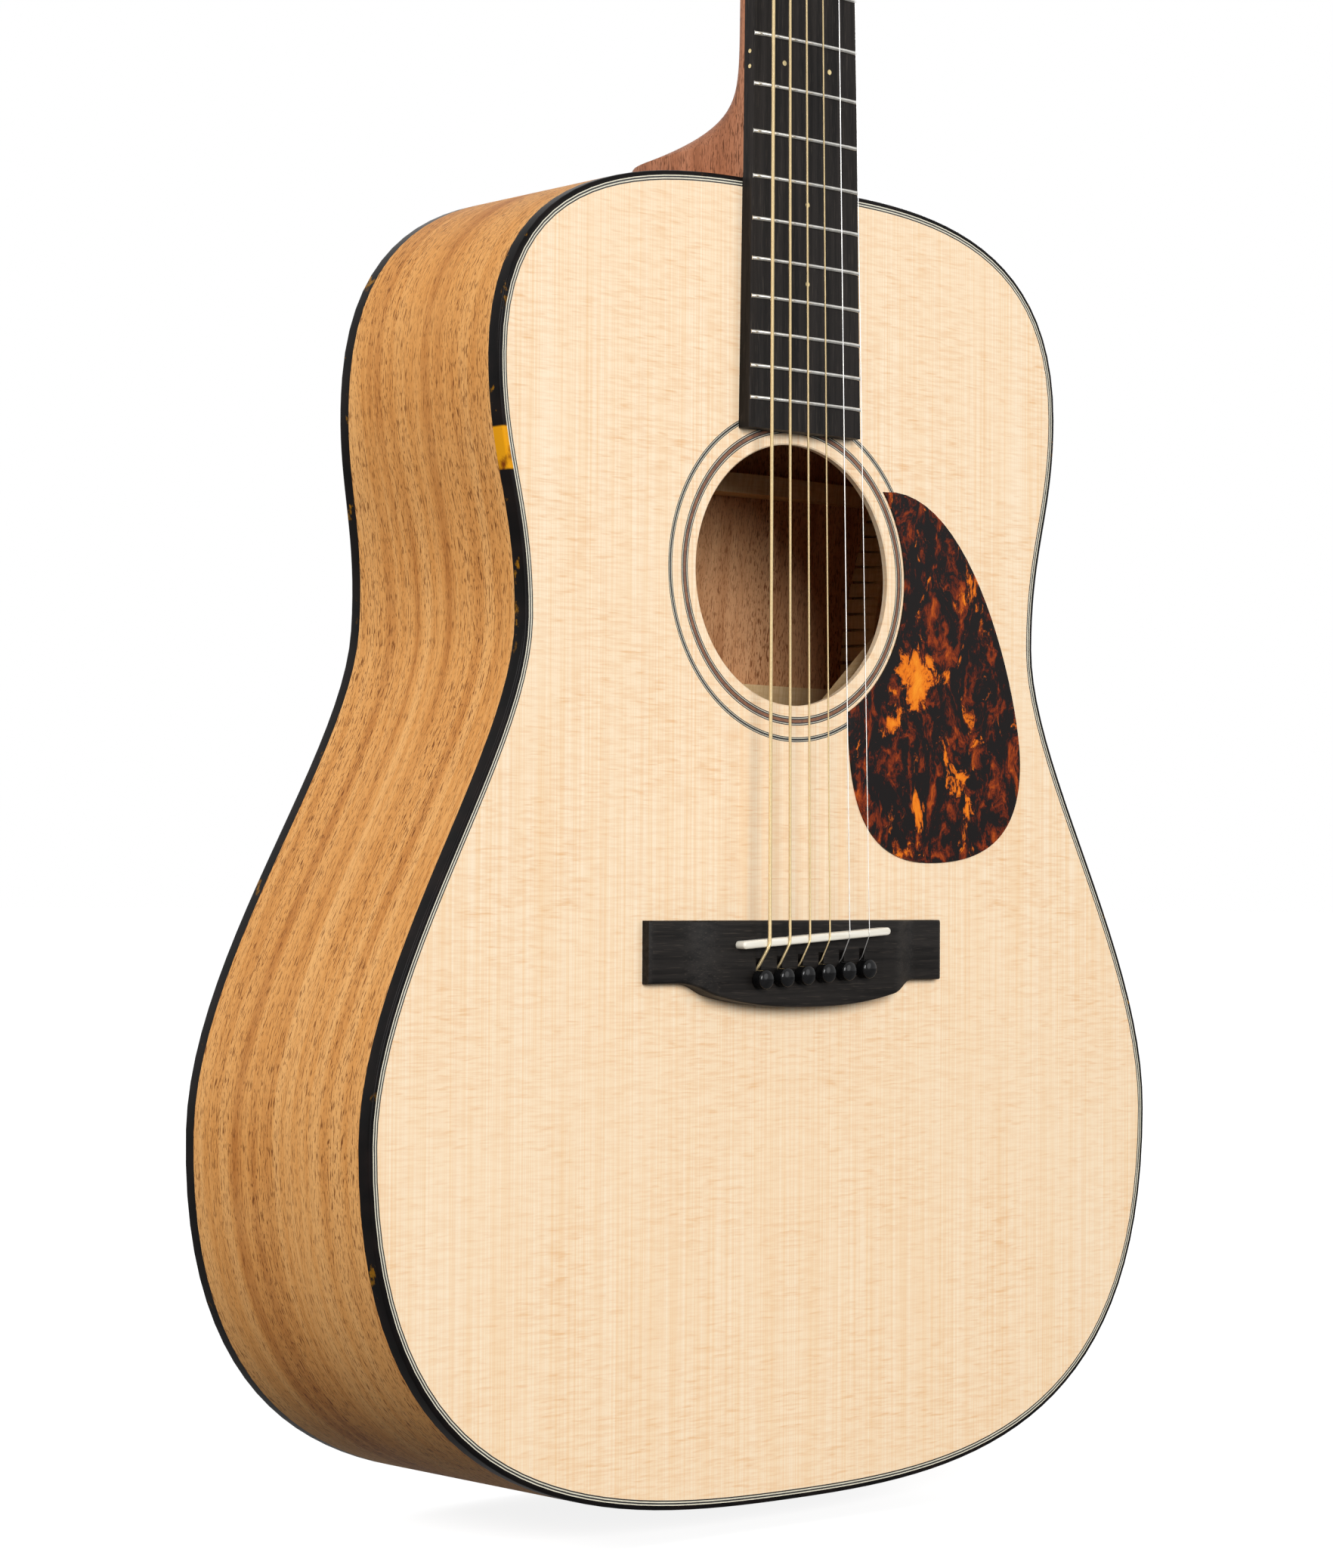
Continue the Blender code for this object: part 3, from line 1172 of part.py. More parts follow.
def string_points(index):
    """One string from under the bridge plate, round its pin, over saddle and nut, onto its post."""
    radius = STRING_DIAMETERS[index] / 2
    number = len(STRING_DIAMETERS) - index
    x_pin, z_pin = pin_place(index)
    x_saddle = string_x(index, SADDLE_STRING_SPACING)
    x_nut = string_x(index, NUT_STRING_SPACING)
    z_groove = z_pin + PIN_SHANK_RADIUS - PIN_GROOVE_DEPTH + GAP + radius

    def at(x, height, z):
        return Vector((x, TOP_Y - height, z))

    below = -(TOP_THICKNESS + BRIDGE_PLATE_THICKNESS + 2 * GAP) - BRIDGE_HEIGHT / 2
    saddle = at(x_saddle, SADDLE_TOP + 2 * GAP + radius, saddle_level(x_saddle) - SADDLE_CREST / 2)
    out_of_ramp = at(x_pin, BRIDGE_HEIGHT + GAP, z_groove + PIN_HEAD_RADIUS)
    points = [at(x_pin, below, z_groove)]
    into_ramp = at(x_pin, BRIDGE_HEIGHT - RAMP_DEPTH * 0.8, z_groove)
    corner = at(x_pin, BRIDGE_HEIGHT - RAMP_DEPTH / 2, z_groove)
    points += bend(into_ramp, corner, out_of_ramp, 5)
    points.append(out_of_ramp)
    nut = Vector((x_nut, nut_string_bottom() - radius, along_neck(-NUT_LENGTH / 2)))
    before_saddle = saddle + (out_of_ramp - saddle).normalized() * SADDLE_CREST
    after_saddle = saddle + (nut - saddle).normalized() * SADDLE_CREST
    points += bend(before_saddle, saddle, after_saddle, 3)
    points.append(after_saddle)
    side = -1 if number > 3 else 1
    along = next(a for n, s, a in tuners() if n == number)
    turn = -side
    reach = POST_RADIUS + GAP + radius
    start_out = GAP + HEADPLATE_THICKNESS + STRING_START_ABOVE_FACE
    touch = head_to_part(side * (POST_X - reach), along, start_out)
    before_nut = nut + (saddle - nut).normalized() * NUT_LENGTH / 3
    after_nut = nut + (touch - nut).normalized() * NUT_LENGTH / 3
    points += bend(before_nut, nut, after_nut, 3)
    points.append(after_nut)
    drop = 2 * radius + STRING_TURN_GAP
    for i in range(STRING_TURNS * LOOP_POINTS + 1):
        part = i / LOOP_POINTS
        a = (math.pi if side > 0 else 0.0) + turn * 2 * math.pi * part
        across = side * POST_X + reach * math.cos(a)
        points.append(head_to_part(across, along + reach * math.sin(a), start_out - drop * part))
    return points


def least_turn_gap(points, radius):
    """The smallest clear space between one turn of a string and the next."""
    coil = points[-STRING_TURNS * LOOP_POINTS - 1:]
    apart = LOOP_POINTS * 2 // 3
    nearest = min((coil[i] - coil[j]).length for i in range(len(coil)) for j in range(i + apart, len(coil)))
    return nearest - 2 * radius


def make_strings(wound, plain):
    for index, diameter in enumerate(STRING_DIAMETERS):
        number = len(STRING_DIAMETERS) - index
        points = string_points(index)
        tube(f"string_{number}", points, diameter / 2, wound if number > 2 else plain)
        gap_mm = least_turn_gap(points, diameter / 2) * 1000
        print(f"string_{number} least gap between turns: {gap_mm:.2f} mm")


clear_scene()
RIM = rim_samples()
HEAD_ROOT = (0, glue_y(-NUT_LENGTH), along_neck(-NUT_LENGTH))
HEAD = add_empty("headstock_frame", HEAD_ROOT, (math.pi / 2 - HEAD_ANGLE, 0, 0))

SPRUCE = material("spruce", (0.83, 0.66, 0.42), 0.45)
BRACE_SPRUCE = material("brace_spruce", (0.78, 0.63, 0.42), 0.7)
MAHOGANY = material("mahogany", (0.58, 0.33, 0.15), 0.4)
NECK_MAHOGANY = material("neck_mahogany", (0.36, 0.17, 0.09), 0.45)
TORTOISE = material("tortoise", (0.035, 0.018, 0.012), 0.25)
ROSETTE = material("rosette", (0.30, 0.15, 0.09), 0.45)
EBONY = material("ebony", (0.02, 0.018, 0.017), 0.5)
BONE = material("bone", (0.86, 0.82, 0.72), 0.35)
BLACK_PLASTIC = material("black_plastic", (0.012, 0.012, 0.012), 0.2)
NICKEL = material("nickel", (0.72, 0.70, 0.66), 0.25, 1.0)
STEEL = material("steel", (0.70, 0.70, 0.70), 0.25, 1.0)
BRONZE = material("bronze", (0.75, 0.56, 0.27), 0.3, 1.0)

make_pin_hole_tool()
make_sides(MAHOGANY)
make_bindings(TORTOISE)
make_linings(BRACE_SPRUCE)
make_soundboard(SPRUCE)
make_rosette(ROSETTE)
make_back(MAHOGANY)
make_blocks(NECK_MAHOGANY)
make_top_braces(BRACE_SPRUCE)
make_back_braces(BRACE_SPRUCE)
make_bridge_plate(EBONY)
make_pickguard(TORTOISE)
make_strap_button(BLACK_PLASTIC)
make_bridge(EBONY)
make_saddle(BONE)
make_pins(BLACK_PLASTIC)
make_neck(NECK_MAHOGANY)
make_headplate(EBONY)
make_fingerboard(EBONY)
make_nut(BONE)
make_truss_rod(STEEL)
make_posts(NICKEL)
make_worms(NICKEL)
make_tuner_plates(NICKEL)
make_strings(BRONZE, STEEL)
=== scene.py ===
"""Acoustic guitar: finer pieces, finishes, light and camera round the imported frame."""
import math

import bmesh
import bpy
from mathutils import Matrix, Vector


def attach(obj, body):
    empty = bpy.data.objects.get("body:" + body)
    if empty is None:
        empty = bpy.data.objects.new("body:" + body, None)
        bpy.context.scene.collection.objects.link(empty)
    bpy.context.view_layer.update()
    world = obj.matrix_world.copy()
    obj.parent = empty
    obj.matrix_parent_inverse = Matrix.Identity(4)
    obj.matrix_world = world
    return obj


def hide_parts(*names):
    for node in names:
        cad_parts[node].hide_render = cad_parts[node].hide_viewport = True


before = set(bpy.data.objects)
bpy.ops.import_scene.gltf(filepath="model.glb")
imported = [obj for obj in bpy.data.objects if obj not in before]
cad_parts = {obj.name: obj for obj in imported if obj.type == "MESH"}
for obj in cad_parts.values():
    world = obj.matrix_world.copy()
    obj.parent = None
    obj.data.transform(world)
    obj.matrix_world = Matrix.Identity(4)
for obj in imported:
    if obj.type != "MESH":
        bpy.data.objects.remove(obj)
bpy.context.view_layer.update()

# Camera, found from the photograph's frets and outline
CAMERA_TARGET = Vector((-0.064542, -0.061, 0.281182))
CAMERA_DISTANCE = 1.381043
CAMERA_TURN = math.radians(40.948)       # to the bass side
CAMERA_RISE = math.radians(-1.589)
CAMERA_ROLL = math.radians(0.290)
CAMERA_LENS = 85.177
CAMERA_SENSOR = 36.0
CAMERA_NEAR = 0.05

# Body outline, one half of it as four curves from the tail to the neck joint
GAP = 0.0003
TAIL_Z = 0.0095
BODY_LENGTH = 0.5035
JOINT_Z = TAIL_Z + BODY_LENGTH
LOWER_BOUT = Vector((0.4014 / 2, JOINT_Z - 0.361))
WAIST = Vector((0.2650 / 2, JOINT_Z - 0.1728))
UPPER_BOUT = Vector((0.2909 / 2, JOINT_Z - 0.078))
TAIL_FLATNESS = 0.0862
LOWER_BOUT_PULLS = (0.97 * (LOWER_BOUT.y - TAIL_Z), 0.0643)
WAIST_PULLS = (0.0480, 0.0416)
UPPER_BOUT_PULLS = (0.0384, 0.0854)
NECK_FLATNESS = 0.045
RIM_STEPS = (32, 22, 18, 26)

# Body depth and plates
NECK_DEPTH = 0.089
TAIL_DEPTH = 0.122
BACK_RADIUS = 3.0
TOP_Y = -TAIL_DEPTH / 2
TOP_THICKNESS = 0.0028
BACK_THICKNESS = 0.0026
SIDE_THICKNESS = 0.0021
BINDING_WIDTH = 0.0021
BINDING_HEIGHT = 0.006
BINDING_ROUND = 0.0011
PURFLING_LINES = (0.00040, 0.00060, 0.00045, 0.00050)   # white, black, white, black
PURFLING_START = 0.0018
PURFLING_END = PURFLING_START + sum(PURFLING_LINES)
PURFLING_DEPTH = 0.0012
LINING_WIDTH = 0.006
LINING_HEIGHT = 0.014
LINING_EDGE = 0.0015
KERF_PITCH = 0.0066
KERF_WIDTH = 0.0012
TAIL_BLOCK_HALF = 0.0503
NECK_BLOCK_HALF = 0.0453

# Soundhole, rosette and pickguard
HOLE = Vector((0, JOINT_Z - 0.15015))
HOLE_RADIUS = 0.0502
HOLE_EDGE = 0.0005
INNER_RING = 0.0545
INNER_RING_LINES = (0.00040, 0.00025, 0.00045, 0.00110, 0.00045, 0.00025, 0.00040)
OUTER_RING = 0.0623
OUTER_RING_LINES = (0.00035, 0.00022, 0.00076, 0.00022, 0.00035)
ROSETTE_DEPTH = 0.0012
PICKGUARD_THICKNESS = 0.0008
PICKGUARD_ARC = 0.0590
PICKGUARD_ARC_ENDS = (math.radians(37), math.radians(-61))
PICKGUARD_BOTTOM = Vector((0.0725, JOINT_Z - 0.2601))
PICKGUARD_RIGHT = Vector((0.1246, JOINT_Z - 0.2200))
PICKGUARD_PULLS = (0.034, 0.036, 0.034, 0.028, 0.026, 0.050)
PICKGUARD_TOP_LIFT = 0.006
PICKGUARD_EDGE = 0.0004

# Places of colour: amber patches as (across, below the neck joint, reach, strength)
GUARD_PATCHES = (
    (0.0650, 0.1865, 0.0190, 0.26), (0.0868, 0.2320, 0.0120, 0.12), (0.0929, 0.2545, 0.0110, 0.14),
    (0.0995, 0.1795, 0.0120, 0.12), (0.0517, 0.2060, 0.0100, 0.12), (0.0707, 0.2386, 0.0110, 0.12))
TAIL_PAINTED_SHADE = 0.2                 # share of the darker spruce tone at the tail: painted shade that deepens towards the tail
BINDING_BLOCK = 0.0145            # length of the amber block in the binding
BINDING_BLOCK_BELOW = 0.1122      # its place below the neck joint
BINDING_FLECKS_BELOW = 0.05       # where the flecks on its side end, below the block
BINDING_FLECKS_FADE = 0.01

# Neck, fingerboard and frets
SCALE_LENGTH = 0.648
JOINT_FRET = 14
FRET_COUNT = 20
NUT_WIDTH = 0.0447
BOARD_FLARE = 0.0303
BOARD_THICKNESS = 0.0062
BOARD_RADIUS = 0.406
BOARD_OVERHANG = 0.0113
BOARD_EDGE = 0.0004
BOARD_STEPS = 12
NECK_SLOPE = 0.007
FRET_WIDTH = 0.0017
FRET_HEIGHT = 0.0010
FRET_SHORT = 0.0003
FRET_END_HEIGHT = 0.35 * FRET_HEIGHT
FRET_END_SLOPE = 0.4 * FRET_HEIGHT
DOT_RADIUS = 0.0010
SIDE_DOT_RADIUS = 0.0008
DOT_FRETS = (3, 5, 7, 9, 15, 17)
SIDE_DOT_FRETS = (3, 5, 7, 9)
DOUBLE_DOT_FRET = 12
DOUBLE_DOT_HALF = 0.0118
DOUBLE_SIDE_DOT_HALF = 0.0029
DOT_LEVELS = (-0.0006, 0.00004)
NECK_THICKNESS_NUT = 0.0150
NECK_THICKNESS_HEEL = 0.0160
HEEL_REACH = 0.0155
HEEL_BLEND = 0.085
HEEL_CURVE = 10.0
NECK_SECTION = 1.5
HEEL_SECTION = 0.55
HEEL_SHORT_OF_BACK = 0.004
NUT_LENGTH = 0.006
NUT_STRING_LIFT = 0.0016

# Headstock and tuners
HEAD_ANGLE = math.radians(14)
HEAD_LENGTH = 0.165
HEAD_BASE_WIDTH = 0.060
HEAD_TOP_WIDTH = 0.074
HEAD_SHOULDER = 0.018
HEAD_THICKNESS = 0.015
HEAD_TOP_RISE = 0.006
HEADPLATE_THICKNESS = 0.0016
HEAD_EDGE_ROUND = 0.0022
HEADPLATE_EDGE_ROUND = 0.0005
POST_X = 0.0225
FIRST_POST = 0.040
POST_SPACING = 0.042
POST_RADIUS = 0.0030
POST_ABOVE_FACE = 0.0165
POST_HOLE_RADIUS = 0.0011
POST_HOLE_BELOW_TOP = 0.0035
POST_WAIST = ((1.0, -0.004), (0.9, -0.002), (0.9, 0.001), (1.0, 0.002))    # radius share, from the eye
GEAR_TEETH = 14
GEAR_THICKNESS = 0.0034
TOOTH_HEIGHT = 0.0012
TOOTH_ROOT_SHARE = 0.27
TOOTH_TIP_SHARE = 0.11
WORM_PITCH = 0.0024
WORM_ROOT_RADIUS = 0.0018
WORM_CREST_RADIUS = 0.0031
WORM_TURNS = 3
MESH_CLEARANCE = 0.0003
THREAD_CREST_SHARE = 0.2
THREAD_FLANK_SHARE = 0.5
SHAFT_RADIUS = 0.0015
PLATE_WIDTH = 0.017
PLATE_THICKNESS = 0.0012
PLATE_END = 0.013
PLATE_EDGE_ROUND = 0.0004
LUG_THICKNESS = 0.0016
LUG_WIDTH = 0.0062
LUG_BELOW_SHAFT = 0.0025
KNOB_STAND_OFF = 0.004
KNOB_LENGTH = 0.017
KNOB_HALF_WIDTH = 0.0075
KNOB_HALF_THICKNESS = 0.0038
KNOB_PROFILE = ((0.32, 0.0), (0.36, 0.12), (0.85, 0.35), (1.0, 0.62), (0.9, 0.88), (0.6, 1.0))
KNOB_CAP = 0.6
BUSHING_RADIUS = 0.0048
BUSHING_HEIGHT = 0.0014
SCREW_RADIUS = 0.0021
SCREW_PROFILE = ((1.0, 0.0), (0.96, 0.0003), (0.75, 0.0009), (0.4, 0.0012), (0.05, 0.0013))
SCREW_SLOT_HALF = 0.0003
SCREW_SLOT_LEVELS = (0.0008, 0.002)

# Bridge, saddle, pins and strings
BRIDGE_LENGTH = 0.152
BRIDGE_TOP_Z = JOINT_Z - 0.2826
BRIDGE_WING_WIDTH = 0.0235
BRIDGE_BELLY = 0.0095
BELLY_HALF_LENGTH = 0.062
BELLY_EASE = 0.25
BELLY_FULLNESS = 2.4
BRIDGE_HEIGHT = 0.0100
BRIDGE_WING_HEIGHT = 0.0046
BRIDGE_FLAT_HALF = 0.044
BRIDGE_EDGE_ROUND = 0.0009
SADDLE_LENGTH = 0.077
SADDLE_THICKNESS = 0.0030
SADDLE_CREST = 0.0012
SADDLE_TOP = 0.0147
SADDLE_SLOT_FLOOR = 0.0035
SADDLE_Z = JOINT_Z - 0.2893
SADDLE_SLANT = 0.0665
PIN_Z = JOINT_Z - 0.3030
PIN_SLANT = 0.0632
PIN_SPACING = 0.01076
PIN_HEAD_RADIUS = 0.0037
PIN_HEAD_HEIGHT = 0.0052
PIN_DOME = 0.0013
PIN_SHANK_RADIUS = 0.0028
PIN_TIP_RADIUS = 0.0023
PIN_SHANK_LENGTH = 0.024
PIN_GROOVE_WIDTH = 0.0020
PIN_GROOVE_DEPTH = 0.0021
RAMP_DEPTH = 0.006
RAMP_SLOPE = 0.86
RAMP_OVER = 0.001
BRIDGE_PLATE_THICKNESS = 0.0025
STRING_DIAMETERS = (0.00135, 0.00107, 0.00081, 0.00061, 0.00041, 0.00030)
SADDLE_STRING_SPACING = 0.0105
NUT_STRING_SPACING = 0.0072
STRING_TURNS = 2
STRING_TURN_GAP = 0.00045
STRING_START_ABOVE_FACE = 0.0095
STRING_SIDES = 12
LOOP_POINTS = 24
WINDING_PITCH = 0.00034

# Strap button
BUTTON_RADIUS = 0.007
BUTTON_WAIST_RADIUS = 0.0045
BUTTON_FLANGE = 0.002
BUTTON_SHANK_RADIUS = 0.0035
BUTTON_SHANK_LENGTH = 0.014

# Light
AIM = (0, 0, 0.28)
LAMPS = (                         # name, place, size, power
    ("key", (-1.84, -4.8, 1.65), 2.3, 234),
    ("fill", (1.3, -2.9, 1.0), 1.6, 17),
    ("side", (-2.5, 0.3, 1.7), 1.2, 49),
    ("behind", (2.6, 1.7, 1.2), 1.6, 55))
WORLD_STRENGTH = 0.17
FLOOR_HALF = 30
FLOOR_TONE = 0.15
FLOOR_TONE_SEEN = 0.3
FLOOR_GLOW_IN_METAL = 0.25
FLOOR_GLOW_NEAR = 0.86
FLOOR_FADE = (0.5, 2.5)           # distances over which the glow grows to full

# Levels that follow from the sizes above
INNER_TOP_Y = TOP_Y + TOP_THICKNESS
GEAR_RADIUS = GEAR_TEETH * WORM_PITCH / (2 * math.pi)
MESH_DISTANCE = GEAR_RADIUS + TOOTH_HEIGHT / 2 + WORM_ROOT_RADIUS + MESH_CLEARANCE
PLATE_BACK = -HEAD_THICKNESS - GAP - PLATE_THICKNESS
WORM_LEVEL = PLATE_BACK - GAP - WORM_CREST_RADIUS
WORM_HALF = WORM_PITCH * WORM_TURNS / 2
HEAD_FACE = GAP + HEADPLATE_THICKNESS
ROUND_SIDES = 36


def rgb(red, green, blue):
    """A colour as seen on a screen, 0 to 255, in linear light."""
    def linear(value):
        share = value / 255
        return share / 12.92 if share <= 0.04045 else ((share + 0.055) / 1.055) ** 2.4
    return linear(red), linear(green), linear(blue), 1.0


def grey(value):
    return value, value, value, 1.0


class Nodes:
    """Short ways to add nodes to a material or a world."""

    def __init__(self, tree):
        self.tree = tree

    def node(self, kind, inputs, **settings):
        made = self.tree.nodes.new(kind)
        for key, value in settings.items():
            setattr(made, key, value)
        for key, value in inputs.items():
            self.feed(made.inputs[key], value)
        return made

    def feed(self, socket, value):
        if isinstance(value, bpy.types.NodeSocket):
            self.tree.links.new(value, socket)
        else:
            socket.default_value = value

    def rays(self):
        return self.node("ShaderNodeLightPath", {}).outputs

    def maths(self, operation, first, second):
        return self.node("ShaderNodeMath", {0: first, 1: second}, operation=operation).outputs["Value"]


class Finish(Nodes):
    """A material whose look is worked out by nodes."""

    def __init__(self, name, roughness, metallic=0.0, specular=0.5):
        self.mat = bpy.data.materials.new(name)
        self.mat.use_nodes = True
        super().__init__(self.mat.node_tree)
        self.shader = self.tree.nodes["Principled BSDF"]
        self.set("Roughness", roughness)
        self.set("Metallic", metallic)
        self.set("Specular IOR Level", specular)

    def set(self, name, value):
        self.feed(self.shader.inputs[name], value)

    def place(self):
        return self.node("ShaderNodeTexCoord", {}).outputs["Object"]

    def grain(self):
        """Along, across and through the piece, in metres, as stored on its points."""
        return self.node("ShaderNodeAttribute", {}, attribute_name="grain").outputs["Vector"]

    def stretch(self, vector, scale):
        return self.node("ShaderNodeMapping", {"Vector": vector, "Scale": scale}).outputs["Vector"]

    def split(self, vector):
        return self.node("ShaderNodeSeparateXYZ", {"Vector": vector}).outputs

    def matched_place(self):
        """The same place on both halves of a book-matched plate."""
        parts = self.split(self.place())
        across = self.maths("ABSOLUTE", parts["X"], 0.0)
        made = self.node("ShaderNodeCombineXYZ", {"X": across, "Y": parts["Y"], "Z": parts["Z"]})
        return made.outputs["Vector"]

    def noise(self, vector, scale, detail=2.0, rough=0.5, output="Fac"):
        made = self.node("ShaderNodeTexNoise", {
            "Vector": self.stretch(vector, scale), "Scale": 1.0, "Detail": detail, "Roughness": rough})
        return made.outputs[output]

    def spread(self, value, low, high, to_low=0.0, to_high=1.0):
        made = self.node("ShaderNodeMapRange", {
            "Value": value, "From Min": low, "From Max": high, "To Min": to_low, "To Max": to_high})
        return made.outputs["Result"]

    def ramp(self, value, *stops):
        made = self.node("ShaderNodeValToRGB", {"Fac": value})
        points = made.color_ramp.elements
        while len(points) < len(stops):
            points.new(1.0)
        for point, (place, colour) in zip(points, stops):
            point.position = place
            point.color = colour
        return made.outputs["Color"]

    def mix(self, share, first, second):
        return self.node("ShaderNodeMix", {0: share, 6: first, 7: second}, data_type="RGBA").outputs[2]

    def near(self, centre, reach, strength):
        """Full strength at a place, falling to nothing at a distance."""
        made = self.node("ShaderNodeVectorMath", {0: self.place(), 1: centre}, operation="DISTANCE")
        return self.spread(made.outputs["Value"], 0.0, reach, strength, 0.0)

    def colour(self, value):
        self.set("Base Color", value)

    def relief(self, height, distance, strength):
        made = self.node("ShaderNodeBump", {"Height": height, "Distance": distance, "Strength": strength})
        self.set("Normal", made.outputs["Normal"])


def spruce_finish(name, light, dark, fleck, roughness):
    """Straight fine grain along Z, crossed by soft silk and short golden streaks in clusters, with painted
    shade that darkens it towards the tail.
    """
    f = Finish(name, roughness, specular=0.3)
    at = f.matched_place()
    fine = f.noise(at, (1100, 1100, 6), 2.0, 0.6)
    colour = f.ramp(fine, (0.34, light), (0.72, dark))
    lines = f.spread(f.noise(at, (340, 340, 2), 1.0), 0.58, 0.75, 0.0, 0.10)
    colour = f.mix(lines, colour, fleck)
    group = f.spread(f.noise(at, (16, 16, 18), 2.0), 0.38, 0.62, 0.55, 1.0)
    silk = f.spread(f.noise(at, (80, 80, 760), 3.0, 0.6), 0.42, 0.64, 0.0, 0.32)
    colour = f.mix(f.maths("MULTIPLY", group, silk), colour, fleck)
    streak = f.spread(f.noise(at, (110, 110, 900), 1.0), 0.60, 0.76, 0.0, 0.42)
    colour = f.mix(f.maths("MULTIPLY", group, streak), colour, fleck)
    # Painted shade: the colour turns towards the darker tone from the neck joint down to the tail.
    height = f.split(at)["Z"]
    f.colour(f.mix(f.spread(height, JOINT_Z, TAIL_Z, 0.0, TAIL_PAINTED_SHADE), colour, dark))
    f.relief(fine, 0.00004, 0.5)
    return f.mat


def grain_scale(along, length, width):
    """Noise scales along and across the grain."""
    return (length, width, width) if along == "X" else (width, width, length)


def mahogany_finish(name, vector_of, along, tones, pore, roughness):
    """Open-grained wood: slow streaks along the grain and short dark pores."""
    f = Finish(name, roughness, specular=0.03)
    at = vector_of(f)
    light, middle, dark = tones

    def grained(length, width, *detail):
        return f.noise(at, grain_scale(along, length, width), *detail)

    streak = grained(2.2, 80, 4.0, 0.6)
    colour = f.ramp(streak, (0.36, dark), (0.48, middle), (0.62, light))
    ripple = f.spread(grained(34, 7), 0.35, 0.70, 0.0, 0.30)
    colour = f.mix(ripple, colour, light)
    fine = f.spread(grained(24, 900), 0.44, 0.72, 0.0, 0.35)
    colour = f.mix(fine, colour, dark)
    group = f.spread(grained(6, 42), 0.30, 0.62, 0.55, 1.0)
    long_pores = f.spread(grained(170, 1700, 1.0), 0.60, 0.65)
    short_pores = f.spread(grained(380, 2300, 1.0), 0.60, 0.65, 0.0, 0.9)
    pores = f.maths("MULTIPLY", group, f.maths("MAXIMUM", long_pores, short_pores))
    f.colour(f.mix(f.maths("MULTIPLY", pores, 0.95), colour, pore))
    f.relief(f.maths("MULTIPLY", pores, -1.0), 0.00005, 0.4)
    return f.mat


def ebony_finish(name, along, light):
    """Nearly black wood with faint streaks and pores."""
    f = Finish(name, 0.48, specular=0.10)
    streak = f.noise(f.place(), grain_scale(along, 12, 400), 4.0, 0.65)
    pores = f.spread(f.noise(f.place(), grain_scale(along, 120, 2400), 1.0), 0.60, 0.70, 0.0, 0.5)
    colour = f.ramp(streak, (0.35, rgb(17, 15, 14)), (0.60, light))
    f.colour(f.mix(pores, colour, rgb(58, 52, 47)))
    f.relief(pores, 0.00006, 0.4)
    return f.mat


def tortoise_finish(name):
    """Black shell with red-brown swirls and amber patches, the largest beside the soundhole."""
    f = Finish(name, 0.32, specular=0.10)
    at = f.place()
    swirl = f.noise(at, (60, 60, 34), 4.0, 0.5, "Color")
    push = f.node("ShaderNodeVectorMath", {0: swirl, 1: (0.03, 0.03, 0.03)}, operation="MULTIPLY")
    moved = f.node("ShaderNodeVectorMath", {0: at, 1: push.outputs[0]}, operation="ADD").outputs["Vector"]
    cloud = f.noise(moved, (120, 120, 66), 10.0, 0.72)
    black = rgb(21, 17, 17)
    red = f.ramp(cloud, (0.50, black), (0.53, rgb(66, 23, 14)), (0.59, rgb(126, 47, 18)),
                 (0.68, rgb(188, 84, 24)))
    bright = f.noise(moved, (96, 96, 52), 10.0, 0.70)
    for x, below, reach, strength in GUARD_PATCHES:
        bright = f.maths("ADD", bright, f.near((x, TOP_Y, JOINT_Z - below), reach, strength))
    tone = f.ramp(bright, (0.60, rgb(150, 56, 18)), (0.66, rgb(232, 120, 26)), (0.80, rgb(248, 156, 44)))
    f.colour(f.mix(f.spread(bright, 0.60, 0.64), red, tone))
    return f.mat


def binding_finish(name):
    """Nearly black shell with small dark amber flecks and one bright block above the bass side's waist."""
    f = Finish(name, 0.32, specular=0.05)
    at = f.place()
    base = f.ramp(f.noise(at, (90, 90, 90), 3.0), (0.4, rgb(15, 14, 14)), (0.7, rgb(26, 21, 20)))
    fleck = f.noise(at, (150, 150, 110), 5.0, 0.6)
    zone = f.spread(f.noise(at, (16, 16, 16), 1.0), 0.52, 0.60)
    parts = f.split(at)
    along = f.maths("SUBTRACT", parts["Z"], JOINT_Z - BINDING_BLOCK_BELOW)
    bass = f.spread(parts["X"], -WAIST.x * 0.95, -WAIST.x)
    above = f.spread(along, -BINDING_FLECKS_BELOW - BINDING_FLECKS_FADE, -BINDING_FLECKS_BELOW)
    zone = f.maths("MAXIMUM", zone, f.maths("MULTIPLY", bass, above))
    amber = f.maths("MULTIPLY", f.spread(fleck, 0.62, 0.70, 0.0, 0.4), zone)
    inside = f.spread(f.maths("ABSOLUTE", along, 0.0), BINDING_BLOCK / 2, BINDING_BLOCK * 0.55, 1.0, 0.0)
    front = f.spread(parts["Y"], TOP_Y + BINDING_HEIGHT, TOP_Y + 2 * BINDING_HEIGHT, 1.0, 0.0)
    block = f.maths("MULTIPLY", inside, f.maths("MULTIPLY", bass, front))
    tone = f.ramp(fleck, (0.30, rgb(120, 58, 14)), (0.48, rgb(222, 152, 22)))
    f.colour(f.mix(f.maths("MAXIMUM", amber, block), base, tone))
    return f.mat


def mottled_finish(name, light, dark, roughness, scale=(400, 400, 400), metallic=0.0, specular=0.5):
    """A plain finish with a little unevenness in it."""
    f = Finish(name, roughness, metallic, specular)
    cloud = f.noise(f.place(), scale, 3.0, 0.6)
    f.colour(f.ramp(cloud, (0.3, dark), (0.7, light)))
    f.set("Roughness", f.spread(cloud, 0.3, 0.7, roughness * 0.85, roughness * 1.15))
    return f.mat


